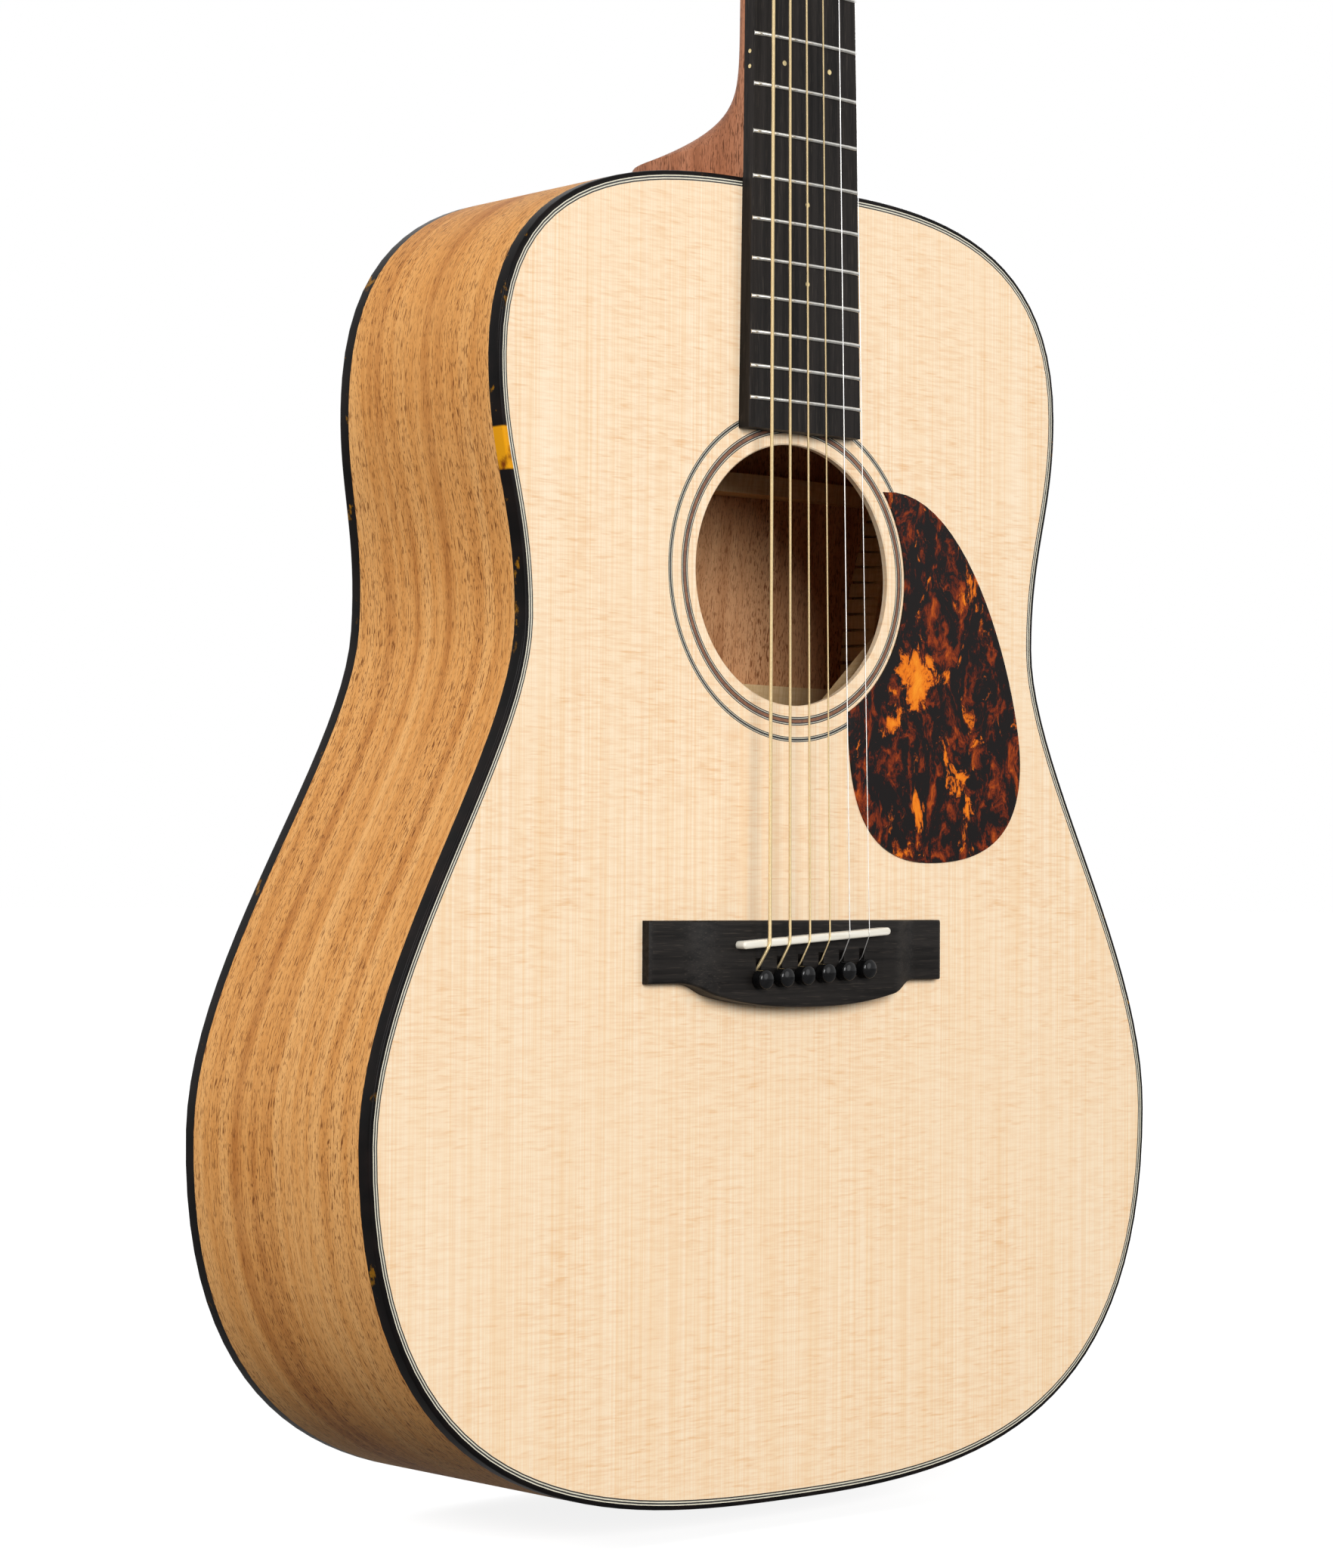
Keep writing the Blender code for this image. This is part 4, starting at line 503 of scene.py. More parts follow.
def wound_finish(name):
    """A round wrap wire on its core, with painted highlight on the wraps and painted shade between them."""
    f = Finish(name, 0.40, 0.85)
    along = f.split(f.grain())["X"]
    turn = f.maths("FRACT", f.maths("DIVIDE", along, WINDING_PITCH), 0.0)
    crest = f.maths("ABSOLUTE", f.maths("SUBTRACT", turn, 0.5), 0.0)
    # Painted highlight on the middle of each wrap and painted shade in the grooves between wraps.
    f.colour(f.ramp(crest, (0.12, rgb(250, 230, 182)), (0.48, rgb(196, 162, 108))))
    f.relief(f.maths("MULTIPLY", crest, -2.0), WINDING_PITCH / 3, 0.7)
    return f.mat


def skin(bm, rings, around=True, along=False, slots=None):
    """Join rings of points by faces. slots gives each step round a ring its material."""
    loops = [[bm.verts.new(p) for p in ring] for ring in rings]
    pairs = list(zip(loops, loops[1:]))
    if along:
        pairs.append((loops[-1], loops[0]))
    count = len(loops[0]) if around else len(loops[0]) - 1
    for low, high in pairs:
        for i in range(count):
            j = (i + 1) % len(low)
            face = bm.faces.new((low[i], low[j], high[j], high[i]))
            face.material_index = slots[i] if slots else 0
    return loops


def solid(rings, bm=None):
    """Rings joined into a closed body with flat ends."""
    bm = bm or bmesh.new()
    loops = skin(bm, rings)
    bm.faces.new(loops[0])
    bm.faces.new(loops[-1])
    return bm


def circle(radius, sides=ROUND_SIDES):
    angles = [2 * math.pi * i / sides for i in range(sides)]
    return [(radius * math.cos(a), radius * math.sin(a)) for a in angles]


def turned_rings(profile, sides=ROUND_SIDES):
    """A profile of (radius, height) turned about Z."""
    return [[Vector((x, y, height)) for x, y in circle(radius, sides)] for radius, height in profile]


def turned(profile, sides=ROUND_SIDES):
    return solid(turned_rings(profile, sides))


def prism(loop, front_y, back_y):
    """A flat outline in X and Z, given thickness along Y."""
    return solid([[Vector((x, y, z)) for x, z in loop] for y in (front_y, back_y)])


def box(low, high):
    loop = [(low[0], low[2]), (high[0], low[2]), (high[0], high[2]), (low[0], high[2])]
    return prism(loop, low[1], high[1])


def round_edges(bm, width, wanted, segments=3):
    edges = [e for e in bm.edges if all(wanted(v.co) for v in e.verts)]
    bmesh.ops.bevel(bm, geom=edges, offset=width, segments=segments, affect="EDGES", profile=0.5)


def add_object(name, bm, mats):
    bmesh.ops.recalc_face_normals(bm, faces=bm.faces)
    mesh = bpy.data.meshes.new(name)
    bm.to_mesh(mesh)
    bm.free()
    for mat in mats:
        mesh.materials.append(mat)
    obj = bpy.data.objects.new(name, mesh)
    bpy.context.scene.collection.objects.link(obj)
    return obj


def carve(obj, shape, operation="DIFFERENCE"):
    """Cut a shape out of a piece, or join it on, for good."""
    tool = add_object("carving_tool", shape, [])
    mod = obj.modifiers.new("carve", "BOOLEAN")
    mod.operation = operation
    mod.solver = "EXACT"
    mod.object = tool
    with bpy.context.temp_override(object=obj, active_object=obj, selected_objects=[obj]):
        bpy.ops.object.modifier_apply(modifier=mod.name)
    mesh = tool.data
    bpy.data.objects.remove(tool)
    bpy.data.meshes.remove(mesh)


def settle(obj, stands_for=(), body="guitar", sharp=35):
    """Smooth a piece, tie it to its body and let it stand for its CAD nodes."""
    obj.data.shade_smooth()
    obj.data.set_sharp_from_angle(angle=math.radians(sharp))
    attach(obj, body)
    if stands_for:
        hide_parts(*stands_for)
    return obj


def add_piece(name, bm, mats, stands_for=(), body="guitar", sharp=35):
    return settle(add_object(name, bm, mats), stands_for, body, sharp)


def cubic(p0, p1, p2, p3, t):
    s = 1 - t
    point = p0 * s ** 3 + p1 * 3 * s * s * t + p2 * 3 * s * t * t + p3 * t ** 3
    slope = (p1 - p0) * 3 * s * s + (p2 - p1) * 6 * s * t + (p3 - p2) * 3 * t * t
    return point, slope


def smooth_step(t):
    t = min(max(t, 0.0), 1.0)
    return t * t * (3 - 2 * t)


def rim_samples():
    """The treble half of the outline from tail to neck, each as (point, inward direction)."""
    tail = Vector((0, TAIL_Z))
    neck = Vector((0, JOINT_Z))
    right = Vector((1, 0))
    up = Vector((0, 1))
    curves = (
        (tail, tail + right * TAIL_FLATNESS, LOWER_BOUT - up * LOWER_BOUT_PULLS[0], LOWER_BOUT),
        (LOWER_BOUT, LOWER_BOUT + up * LOWER_BOUT_PULLS[1], WAIST - up * WAIST_PULLS[0], WAIST),
        (WAIST, WAIST + up * WAIST_PULLS[1], UPPER_BOUT - up * UPPER_BOUT_PULLS[0], UPPER_BOUT),
        (UPPER_BOUT, UPPER_BOUT + up * UPPER_BOUT_PULLS[1], neck + right * NECK_FLATNESS, neck),
    )
    samples = []
    for curve, steps in zip(curves, RIM_STEPS):
        for step in range(steps):
            point, slope = cubic(*curve, step / steps)
            slope.normalize()
            samples.append((point, Vector((-slope.y, slope.x))))
    samples.append((neck, -up))
    return samples


RIM = rim_samples()


def whole_rim():
    """Both halves of the outline as one closed run of (point, inward direction)."""
    left = [(Vector((-p.x, p.y)), Vector((-n.x, n.y))) for p, n in reversed(RIM[1:-1])]
    return RIM + left


def rim_lengths():
    """Distance along the outline from the tail to each sample."""
    lengths = [0.0]
    for (p, _), (q, _) in zip(RIM, RIM[1:]):
        lengths.append(lengths[-1] + (q - p).length)
    return lengths


def rim_at(distance, lengths):
    """The outline's point and inward direction at a distance from the tail."""
    i = next(k for k in range(1, len(lengths)) if lengths[k] >= distance)
    t = (distance - lengths[i - 1]) / (lengths[i] - lengths[i - 1])
    return RIM[i - 1][0].lerp(RIM[i][0], t), RIM[i - 1][1].lerp(RIM[i][1], t).normalized()


def back_y(x, z):
    """The outer face of the domed back."""
    below = JOINT_Z - z
    flat = NECK_DEPTH + (TAIL_DEPTH - NECK_DEPTH) * below / BODY_LENGTH
    from_middle = below - BODY_LENGTH / 2
    dome = ((BODY_LENGTH / 2) ** 2 - from_middle ** 2 - x * x) / (2 * BACK_RADIUS)
    return TOP_Y + flat + dome


def quarter_round(radius, steps=5):
    """(inset, drop) points of a rounded corner, from the side face to the front face."""
    angles = [math.pi / 2 * i / steps for i in range(steps + 1)]
    return [(radius * (1 - math.cos(a)), radius * (1 - math.sin(a))) for a in angles]


def make_top_binding(shell, white, black):
    """The binding with its rounded corner and the purfling lines beside it."""
    section = [(0.0, BINDING_HEIGHT)] + quarter_round(BINDING_ROUND) + [(PURFLING_START, 0.0)]
    slots = [0] * (len(section) - 1)
    inset = PURFLING_START
    for line, slot in zip(PURFLING_LINES, (1, 2, 1, 2)):
        inset += line
        section.append((inset, 0.0))
        slots.append(slot)
    section += [(PURFLING_END, PURFLING_DEPTH), (BINDING_WIDTH, PURFLING_DEPTH),
                (BINDING_WIDTH, BINDING_HEIGHT)]
    slots += [2, 2, 0, 0]
    rings = []
    for p, n in whole_rim():
        places = [(p + n * inset, drop) for inset, drop in section]
        rings.append([Vector((q.x, TOP_Y + drop, q.y)) for q, drop in places])
    bm = bmesh.new()
    skin(bm, rings, along=True, slots=slots)
    add_piece("top_binding_and_purfling", bm, [shell, white, black], ["top_binding"])


def make_back_binding(shell):
    section = [(0.0, BINDING_HEIGHT)] + quarter_round(BINDING_ROUND)
    section += [(BINDING_WIDTH, 0.0), (BINDING_WIDTH, BINDING_HEIGHT)]
    rings = []
    for p, n in whole_rim():
        places = [(p + n * inset, drop) for inset, drop in section]
        rings.append([Vector((q.x, back_y(q.x, q.y) - drop, q.y)) for q, drop in places])
    bm = bmesh.new()
    skin(bm, rings, along=True)
    add_piece("back_binding_rounded", bm, [shell], ["back_binding"])


def make_sides(wood):
    """Two bent sides that carry the direction of their grain on their points."""
    lengths = rim_lengths()
    front = TOP_Y + BINDING_HEIGHT
    for side, sign in (("bass", -1), ("treble", 1)):
        rings = []
        for p, n in RIM:
            inner = p + n * SIDE_THICKNESS
            rear = back_y(p.x, p.y) - BINDING_HEIGHT
            corners = ((p, front), (inner, front), (inner, rear), (p, rear))
            rings.append([Vector((sign * q.x, y, q.y)) for q, y in corners])
        bm = bmesh.new()
        grain = bm.verts.layers.float_vector.new("grain")
        loops = skin(bm, rings)
        for loop, length in zip(loops, lengths):
            for vert in loop:
                vert[grain] = (length, vert.co.y, sign)
        bm.faces.new(loops[0])
        bm.faces.new(loops[-1])
        add_piece(f"side_bent_{side}", bm, [wood], [f"side_{side}"])


def outline(inset):
    return [p + n * inset for p, n in whole_rim()]


def make_soundboard(wood):
    """Rings of points from the hole's edge to the purfling, with channels for the rosette."""
    edge = outline(PURFLING_END)
    inner_end = INNER_RING + sum(INNER_RING_LINES)
    outer_end = OUTER_RING + sum(OUTER_RING_LINES)
    steps = [(HOLE_RADIUS, TOP_THICKNESS), (HOLE_RADIUS, HOLE_EDGE), (HOLE_RADIUS + HOLE_EDGE, 0.0)]
    for start, end in ((INNER_RING, inner_end), (OUTER_RING, outer_end)):
        steps += [(start, 0.0), (start, ROSETTE_DEPTH), (end, ROSETTE_DEPTH), (end, 0.0)]
    rings = [ring_round_hole(radius, drop, edge) for radius, drop in steps]
    rings.append([Vector((q.x, TOP_Y, q.y)) for q in edge])
    rings.append([Vector((q.x, TOP_Y + TOP_THICKNESS, q.y)) for q in edge])
    bm = bmesh.new()
    skin(bm, rings, along=True)
    board = add_object("soundboard_plate", bm, [wood])
    carve(board, pin_holes())
    settle(board, ["soundboard"])


def ring_round_hole(radius, drop, edge):
    """A circle round the hole with a point in line with each point of the body's edge."""
    ring = []
    for q in edge:
        p = HOLE + (q - HOLE).normalized() * radius
        ring.append(Vector((p.x, TOP_Y + drop, p.y)))
    return ring


def make_rosette(wood, white, black):
    edge = outline(PURFLING_END)
    for name, start, lines, slots in (("inner", INNER_RING, INNER_RING_LINES, (2, 1, 2, 0, 2, 1, 2)),
                                      ("outer", OUTER_RING, OUTER_RING_LINES, (2, 1, 2, 1, 2))):
        radii = [start]
        for line in lines:
            radii.append(radii[-1] + line)
        bm = bmesh.new()
        steps = [(r, 0.0) for r in radii] + [(radii[-1], ROSETTE_DEPTH), (start, ROSETTE_DEPTH)]
        loops = [[bm.verts.new(p) for p in ring_round_hole(r, drop, edge)] for r, drop in steps]
        for low, high, slot in zip(loops, loops[1:] + loops[:1], slots + (2, 2, 2)):
            for i in range(len(low)):
                j = (i + 1) % len(low)
                bm.faces.new((low[i], low[j], high[j], high[i])).material_index = slot
        add_piece(f"rosette_{name}_lines", bm, [wood, white, black], [f"rosette_{name}"])


def make_back(wood):
    """The domed back as rings of points from its middle to the binding."""
    middle = Vector((0, JOINT_Z - BODY_LENGTH / 2))
    edge = outline(BINDING_WIDTH)
    shares = (0.01, 0.15, 0.3, 0.45, 0.6, 0.75, 0.88, 1.0)
    rings = []
    for share, depth in [(s, 0.0) for s in shares] + [(s, BACK_THICKNESS) for s in reversed(shares)]:
        points = [middle.lerp(q, share) for q in edge]
        rings.append([Vector((p.x, back_y(p.x, p.y) - depth, p.y)) for p in points])
    add_piece("back_plate", solid(rings), [wood], ["back"])


def make_linings(wood):
    """Strips of small blocks on a thin web, sawn through almost to the side."""
    lengths = rim_lengths()
    start = next(d for d, (p, n) in zip(lengths, RIM) if p.x > TAIL_BLOCK_HALF)
    end = max(d for d, (p, n) in zip(lengths, RIM) if p.x > NECK_BLOCK_HALF)
    count = int((end - start) / KERF_PITCH)
    for at_back in (False, True):
        for side, sign in (("bass", -1), ("treble", 1)):
            bm = bmesh.new()
            for i in range(count):
                low = start + i * KERF_PITCH
                ends = [rim_at(low, lengths), rim_at(low + KERF_PITCH - KERF_WIDTH, lengths)]
                solid([lining_section(p, n, sign, at_back, LINING_WIDTH) for p, n in ends], bm)
            web = [rim_at(start + (end - start) * i / count, lengths) for i in range(count + 1)]
            solid([lining_section(p, n, sign, at_back, LINING_EDGE) for p, n in web], bm)
            name = "back_lining" if at_back else "top_lining"
            add_piece(f"{name}_kerfed_{side}", bm, [wood], [f"{name}_{side}"])


def lining_section(p, n, sign, at_back, width):
    thin = min(width, LINING_EDGE)
    corners = ((SIDE_THICKNESS, 0.0), (SIDE_THICKNESS + width, 0.0),
               (SIDE_THICKNESS + thin, LINING_HEIGHT), (SIDE_THICKNESS, LINING_HEIGHT))
    ring = []
    for inset, drop in corners:
        q = p + n * inset
        y = back_y(q.x, q.y) - BACK_THICKNESS - drop if at_back else INNER_TOP_Y + drop
        ring.append(Vector((sign * q.x, y, q.y)))
    return ring


def pickguard_loop():
    """A teardrop beside the soundhole: an arc round the hole, then three curves back to its start."""
    first, last = PICKGUARD_ARC_ENDS

    def on_arc(angle):
        return HOLE + PICKGUARD_ARC * Vector((math.cos(angle), math.sin(angle)))

    steps = 24
    points = [on_arc(first + (last - first) * i / steps) for i in range(steps)]
    across = Vector((1, 0))
    up = Vector((0, 1))
    low, top = on_arc(last), on_arc(first)
    bottom, right, pull = PICKGUARD_BOTTOM, PICKGUARD_RIGHT, PICKGUARD_PULLS
    curves = ((low, low - up * pull[0], bottom - across * pull[1], bottom),
              (bottom, bottom + across * pull[2], right - up * pull[3], right),
              (right, right + up * pull[4], top + across * pull[5] + up * PICKGUARD_TOP_LIFT, top))
    for curve in curves:
        points += [cubic(*curve, i / steps)[0] for i in range(steps)]
    return [(p.x, p.y) for p in points]


def make_pickguard(shell):
    front = TOP_Y - PICKGUARD_THICKNESS
    bm = prism(pickguard_loop(), front, TOP_Y)
    round_edges(bm, PICKGUARD_EDGE, lambda co: co.y < front + GAP / 2)
    add_piece("pickguard_plate", bm, [shell], ["pickguard"])


def make_strap_button(mat):
    base = TAIL_Z
    end = base + SIDE_THICKNESS + BUTTON_SHANK_LENGTH
    flange = BUTTON_FLANGE
    edge = flange / 4
    rim = BUTTON_RADIUS
    waist = BUTTON_WAIST_RADIUS
    profile = [(rim * 0.6, 0.0), (rim - edge, 0.0), (rim - edge / 3, edge / 3), (rim, edge), (rim, flange),
               (waist * 1.25, flange * 1.5), (waist, flange * 2.2), (waist, base - flange * 2),
               (waist * 1.15, base - flange), (rim, base - flange / 3), (rim, base),
               (BUTTON_SHANK_RADIUS, base), (BUTTON_SHANK_RADIUS, end)]
    add_piece("strap_button_turned", turned(profile), [mat], ["strap_button"])


def string_x(index, spacing):
    return (index - (len(STRING_DIAMETERS) - 1) / 2) * spacing


def pin_place(index):
    x = string_x(index, PIN_SPACING)
    return x, PIN_Z + PIN_SLANT * x


def pin_radius(height):
    taper = (PIN_SHANK_RADIUS - PIN_TIP_RADIUS) / PIN_SHANK_LENGTH
    return PIN_SHANK_RADIUS + taper * (height - BRIDGE_HEIGHT - GAP)


def pin_holes():
    bm = bmesh.new()
    for index in range(len(STRING_DIAMETERS)):
        x, z = pin_place(index)
        rings = []
        for height in (BRIDGE_HEIGHT + PIN_HEAD_HEIGHT, BRIDGE_HEIGHT + GAP - PIN_SHANK_LENGTH):
            loop = circle(pin_radius(height) + GAP, 24)
            rings.append([Vector((x + px, TOP_Y - height, z + pz)) for px, pz in loop])
        solid(rings, bm)
    return bm


def bridge_height(x):
    fall = smooth_step((abs(x) - BRIDGE_FLAT_HALF) / (BELLY_HALF_LENGTH - BRIDGE_FLAT_HALF))
    return BRIDGE_HEIGHT + (BRIDGE_WING_HEIGHT - BRIDGE_HEIGHT) * fall


def bridge_bottom(x):
    """The lower edge, level at the wings and rounded at the belly."""
    share = min(abs(x) / BELLY_HALF_LENGTH, 1.0)
    bulge = (1 - share ** BELLY_FULLNESS) * smooth_step((1 - share) / BELLY_EASE)
    return BRIDGE_TOP_Z - BRIDGE_WING_WIDTH - BRIDGE_BELLY * bulge


def make_bridge(wood):
    half = BRIDGE_LENGTH / 2
    stations = 96
    corner = quarter_round(BRIDGE_EDGE_ROUND, 4)
    ends = [half * (2 * i / stations - 1) for i in range(stations + 1)]
    rings = []
    for x in ends:
        inset = BRIDGE_EDGE_ROUND - min(half - abs(x), BRIDGE_EDGE_ROUND)
        drop = BRIDGE_EDGE_ROUND - math.sqrt(max(BRIDGE_EDGE_ROUND ** 2 - inset ** 2, 0.0))
        top = BRIDGE_TOP_Z
        low = bridge_bottom(x)
        height = bridge_height(x) - drop
        section = [(top, 0.0)] + [(top - i, height - d) for i, d in corner]
        section += [(low + i, height - d) for i, d in reversed(corner)] + [(low, 0.0)]
        rings.append([Vector((x, TOP_Y - h, z)) for z, h in section])
    bridge = add_object("bridge_carved", solid(rings), [wood])
    carve(bridge, pin_holes())
    carve(bridge, saddle_bar(SADDLE_LENGTH + GAP, SADDLE_THICKNESS + GAP, SADDLE_SLOT_FLOOR, SADDLE_TOP))
    carve(bridge, string_ramps())
    settle(bridge, ["bridge"])


def string_ramps():
    """A ramp from each pin hole towards the saddle, which lets the string out under the pin's head."""
    bm = bmesh.new()
    half = PIN_GROOVE_WIDTH / 2 + GAP
    low = BRIDGE_HEIGHT - RAMP_DEPTH
    high = BRIDGE_HEIGHT + RAMP_OVER
    run = (high - low) * RAMP_SLOPE
    for index in range(len(STRING_DIAMETERS)):
        x, z = pin_place(index)
        section = ((0.0, low), (PIN_SHANK_RADIUS, low), (PIN_SHANK_RADIUS + run, high), (0.0, high))
        solid([[Vector((x + side, TOP_Y - h, z + dz)) for dz, h in section] for side in (-half, half)], bm)
    return bm


def saddle_bar(length, thickness, floor, top, rounding=0.0):
    """A slanted upright bar with round ends, from a floor height to a top height over the soundboard."""
    radius = thickness / 2
    turn = Matrix.Rotation(math.atan(SADDLE_SLANT), 2)
    steps = 10
    plan = []
    for side in (1, -1):
        for i in range(steps + 1):
            a = math.pi * (i / steps - 0.5)
            plan.append((side * (length / 2 - radius + radius * math.cos(a)), side * radius * math.sin(a)))
    levels = [(floor, 0.0)] + [(top - drop, inset) for inset, drop in quarter_round(rounding)]
    rings = []
    for height, shrink in levels:
        ring = []
        for along, across in plan:
            p = turn @ Vector((along * (1 - 2 * shrink / length), across * (1 - shrink / radius)))
            ring.append(Vector((p.x, TOP_Y - height, SADDLE_Z + p.y)))
        rings.append(ring)
    return solid(rings)


def make_saddle(mat):
    rounding = (SADDLE_THICKNESS - SADDLE_CREST) / 2
    bar = saddle_bar(SADDLE_LENGTH, SADDLE_THICKNESS, SADDLE_SLOT_FLOOR + GAP, SADDLE_TOP, rounding)
    add_piece("saddle_bar", bar, [mat], ["saddle"])


def make_pins(mat):
    seat = BRIDGE_HEIGHT + 2 * GAP
    tip = seat - PIN_SHANK_LENGTH
    crown = seat + PIN_HEAD_HEIGHT
    profile = [(PIN_TIP_RADIUS * 0.6, tip), (PIN_TIP_RADIUS, tip + PIN_TIP_RADIUS),
               (PIN_SHANK_RADIUS, seat), (PIN_HEAD_RADIUS * 0.94, seat),
               (PIN_HEAD_RADIUS, seat + PIN_DOME / 3)]
    steps = 9
    for i in range(steps):
        a = math.pi / 2 * i / steps
        profile.append((PIN_HEAD_RADIUS * math.cos(a), crown - PIN_DOME + PIN_DOME * math.sin(a)))
    profile.append((PIN_HEAD_RADIUS * 0.05, crown))
    floor = PIN_SHANK_RADIUS - PIN_GROOVE_DEPTH
    half = PIN_GROOVE_WIDTH / 2
    for index in range(len(STRING_DIAMETERS)):
        x, z = pin_place(index)
        name = f"bridge_pin_{index + 1}"
        pin = add_object(f"{name}_turned", turned(profile), [mat])
        carve(pin, box((-half, floor, tip - GAP), (half, PIN_HEAD_RADIUS * 2, seat - GAP)))
        pin.data.transform(Matrix.Translation((x, TOP_Y, z)) @ Matrix.Rotation(math.pi / 2, 4, "X"))
        settle(pin, [name], name)


def fret_distance(number):
    return SCALE_LENGTH * (1 - 2 ** (-number / 12))


def along_neck(distance):
    return JOINT_Z + fret_distance(JOINT_FRET) - distance


def board_top_y(distance):
    return TOP_Y - (GAP + BOARD_THICKNESS + NECK_SLOPE * (distance - fret_distance(JOINT_FRET)))


def board_half(distance):
    return (NUT_WIDTH + BOARD_FLARE * distance) / 2


def board_crown(x):
    return x * x / (2 * BOARD_RADIUS)


def glue_y(distance):
    return board_top_y(distance) + BOARD_THICKNESS


def make_fingerboard(wood):
    joint = fret_distance(JOINT_FRET)
    end = fret_distance(FRET_COUNT) + BOARD_OVERHANG
    edge = BOARD_EDGE
    rings = []
    for distance in (0.0, joint - GAP, joint, end):
        under = TOP_Y if distance >= joint else glue_y(distance)
        half = board_half(distance)
        z = along_neck(distance)
        top = board_top_y(distance)
        ring = [Vector((half, under, z)), Vector((-half, under, z)),
                Vector((-half, top + board_crown(half) + edge, z))]
        for i in range(BOARD_STEPS + 1):
            x = (half - edge) * (2 * i / BOARD_STEPS - 1)
            ring.append(Vector((x, top + board_crown(x), z)))
        ring.append(Vector((half, top + board_crown(half) + edge, z)))
        rings.append(ring)
    add_piece("fingerboard_plank", solid(rings), [wood], ["fingerboard"], sharp=28)


def make_frets(mat):
    """Crowned wires bent to the board, with their ends dressed."""
    bm = bmesh.new()
    arc = [math.pi * i / 8 for i in range(9)]
    for number in range(1, FRET_COUNT + 1):
        middle = fret_distance(number)
        half = board_half(middle) - FRET_SHORT
        rings = []
        for i in range(BOARD_STEPS + 1):
            share = 2 * i / BOARD_STEPS - 1
            x = half * share
            height = FRET_HEIGHT if abs(share) < 1 else FRET_END_HEIGHT
            x -= math.copysign(FRET_END_SLOPE, share) if 0.5 < abs(share) < 1 else 0.0
            y = board_top_y(middle) + board_crown(x)
            z = along_neck(middle)
            section = [(height * math.sin(a), FRET_WIDTH / 2 * math.cos(a)) for a in arc]
            rings.append([Vector((x, y - up, z + along)) for up, along in section])
        solid(rings, bm)
    add_piece("frets", bm, [mat])


def add_dot(bm, centre, across, up, radius):
    """A thin round inlay that lies in a surface."""
    normal = across.cross(up)
    rings = []
    for lift in DOT_LEVELS:
        rings.append([centre + across * x + up * y + normal * lift for x, y in circle(radius, 24)])
    solid(rings, bm)


def between_frets(number):
    return (fret_distance(number - 1) + fret_distance(number)) / 2


def make_dots(mat):
    bm = bmesh.new()
    across = Vector((1, 0, 0))
    up = Vector((0, 0, 1))
    places = [(number, 0.0) for number in DOT_FRETS]
    places += [(DOUBLE_DOT_FRET, side * DOUBLE_DOT_HALF) for side in (-1, 1)]
    for number, x in places:
        distance = between_frets(number)
        centre = Vector((x, board_top_y(distance) + board_crown(x), along_neck(distance)))
        add_dot(bm, centre, across, up, DOT_RADIUS)
    side_places = [(number, 0.0) for number in SIDE_DOT_FRETS]
    side_places += [(DOUBLE_DOT_FRET, side * DOUBLE_SIDE_DOT_HALF) for side in (-1, 1)]
    for number, shift in side_places:
        distance = between_frets(number) + shift
        middle = board_top_y(distance) + BOARD_THICKNESS / 2
        centre = Vector((-board_half(distance), middle, along_neck(distance)))
        add_dot(bm, centre, Vector((0, -1, 0)), up, SIDE_DOT_RADIUS)
    add_piece("position_dots", bm, [mat])


def heel_depth(height):
    foot = NECK_DEPTH - HEEL_SHORT_OF_BACK
    t = min(max(height - HEEL_REACH, 0.0) / HEEL_BLEND, 1.0)
    return NECK_THICKNESS_HEEL + (foot - NECK_THICKNESS_HEEL) * (1 - t) ** HEEL_CURVE


def neck_ring(distance, depth, power):
    """A cross-section of the neck: flat under the board, rounded behind."""
    sides = 40
    half = board_half(distance)
    y = glue_y(distance)
    z = along_neck(distance)
    ring = []
    for i in range(sides + 1):
        a = math.pi * i / sides
        x = half * math.copysign(abs(math.cos(a)) ** power, math.cos(a))
        ring.append(Vector((x, y + depth * math.sin(a), z)))
    return ring


def neck_shaft():
    joint = fret_distance(JOINT_FRET)
    heights = [0.0, HEEL_REACH / 2, HEEL_REACH * 0.96]
    heel_steps = 36
    heights += [HEEL_REACH + HEEL_BLEND * (i / heel_steps) ** 2 for i in range(1, heel_steps + 1)]
    rings = []
    for height in heights:
        depth = heel_depth(height)
        fullness = (depth - NECK_THICKNESS_HEEL) / (heel_depth(0.0) - NECK_THICKNESS_HEEL)
        power = NECK_SECTION + (HEEL_SECTION - NECK_SECTION) * fullness
        rings.append(neck_ring(joint - height, depth, power))
    start = joint - heights[-1]
    end = -NUT_LENGTH - GAP
    steps = 12
    for i in range(1, steps + 1):
        t = i / steps
        depth = NECK_THICKNESS_HEEL + (NECK_THICKNESS_NUT - NECK_THICKNESS_HEEL) * t
        rings.append(neck_ring(start + (end - start) * t, depth, NECK_SECTION))
    return solid(rings)


HEAD_ROOT = Vector((0, glue_y(-NUT_LENGTH) + GAP, along_neck(-NUT_LENGTH)))
HEAD = Matrix.Translation(HEAD_ROOT) @ Matrix.Rotation(math.pi / 2 - HEAD_ANGLE, 4, "X")


def head_loop(start):
    """The headstock's outline in its own plane: (across, along), from a start line to its top arc."""
    neck_half = board_half(-NUT_LENGTH)
    sides = [(neck_half, start)]
    steps = 12
    for i in range(1, steps + 1):
        t = i / steps
        sides.append((neck_half + (HEAD_BASE_WIDTH / 2 - neck_half) * smooth_step(t), HEAD_SHOULDER * t))
    corner = HEAD_LENGTH - HEAD_TOP_RISE
    sides.append((HEAD_TOP_WIDTH / 2, corner))
    for i in range(1, steps + 1):
        x = HEAD_TOP_WIDTH / 2 * (1 - i / steps)
        sides.append((x, corner + HEAD_TOP_RISE * (1 - (2 * x / HEAD_TOP_WIDTH) ** 2)))
    return sides + [(-x, y) for x, y in reversed(sides[:-1])]


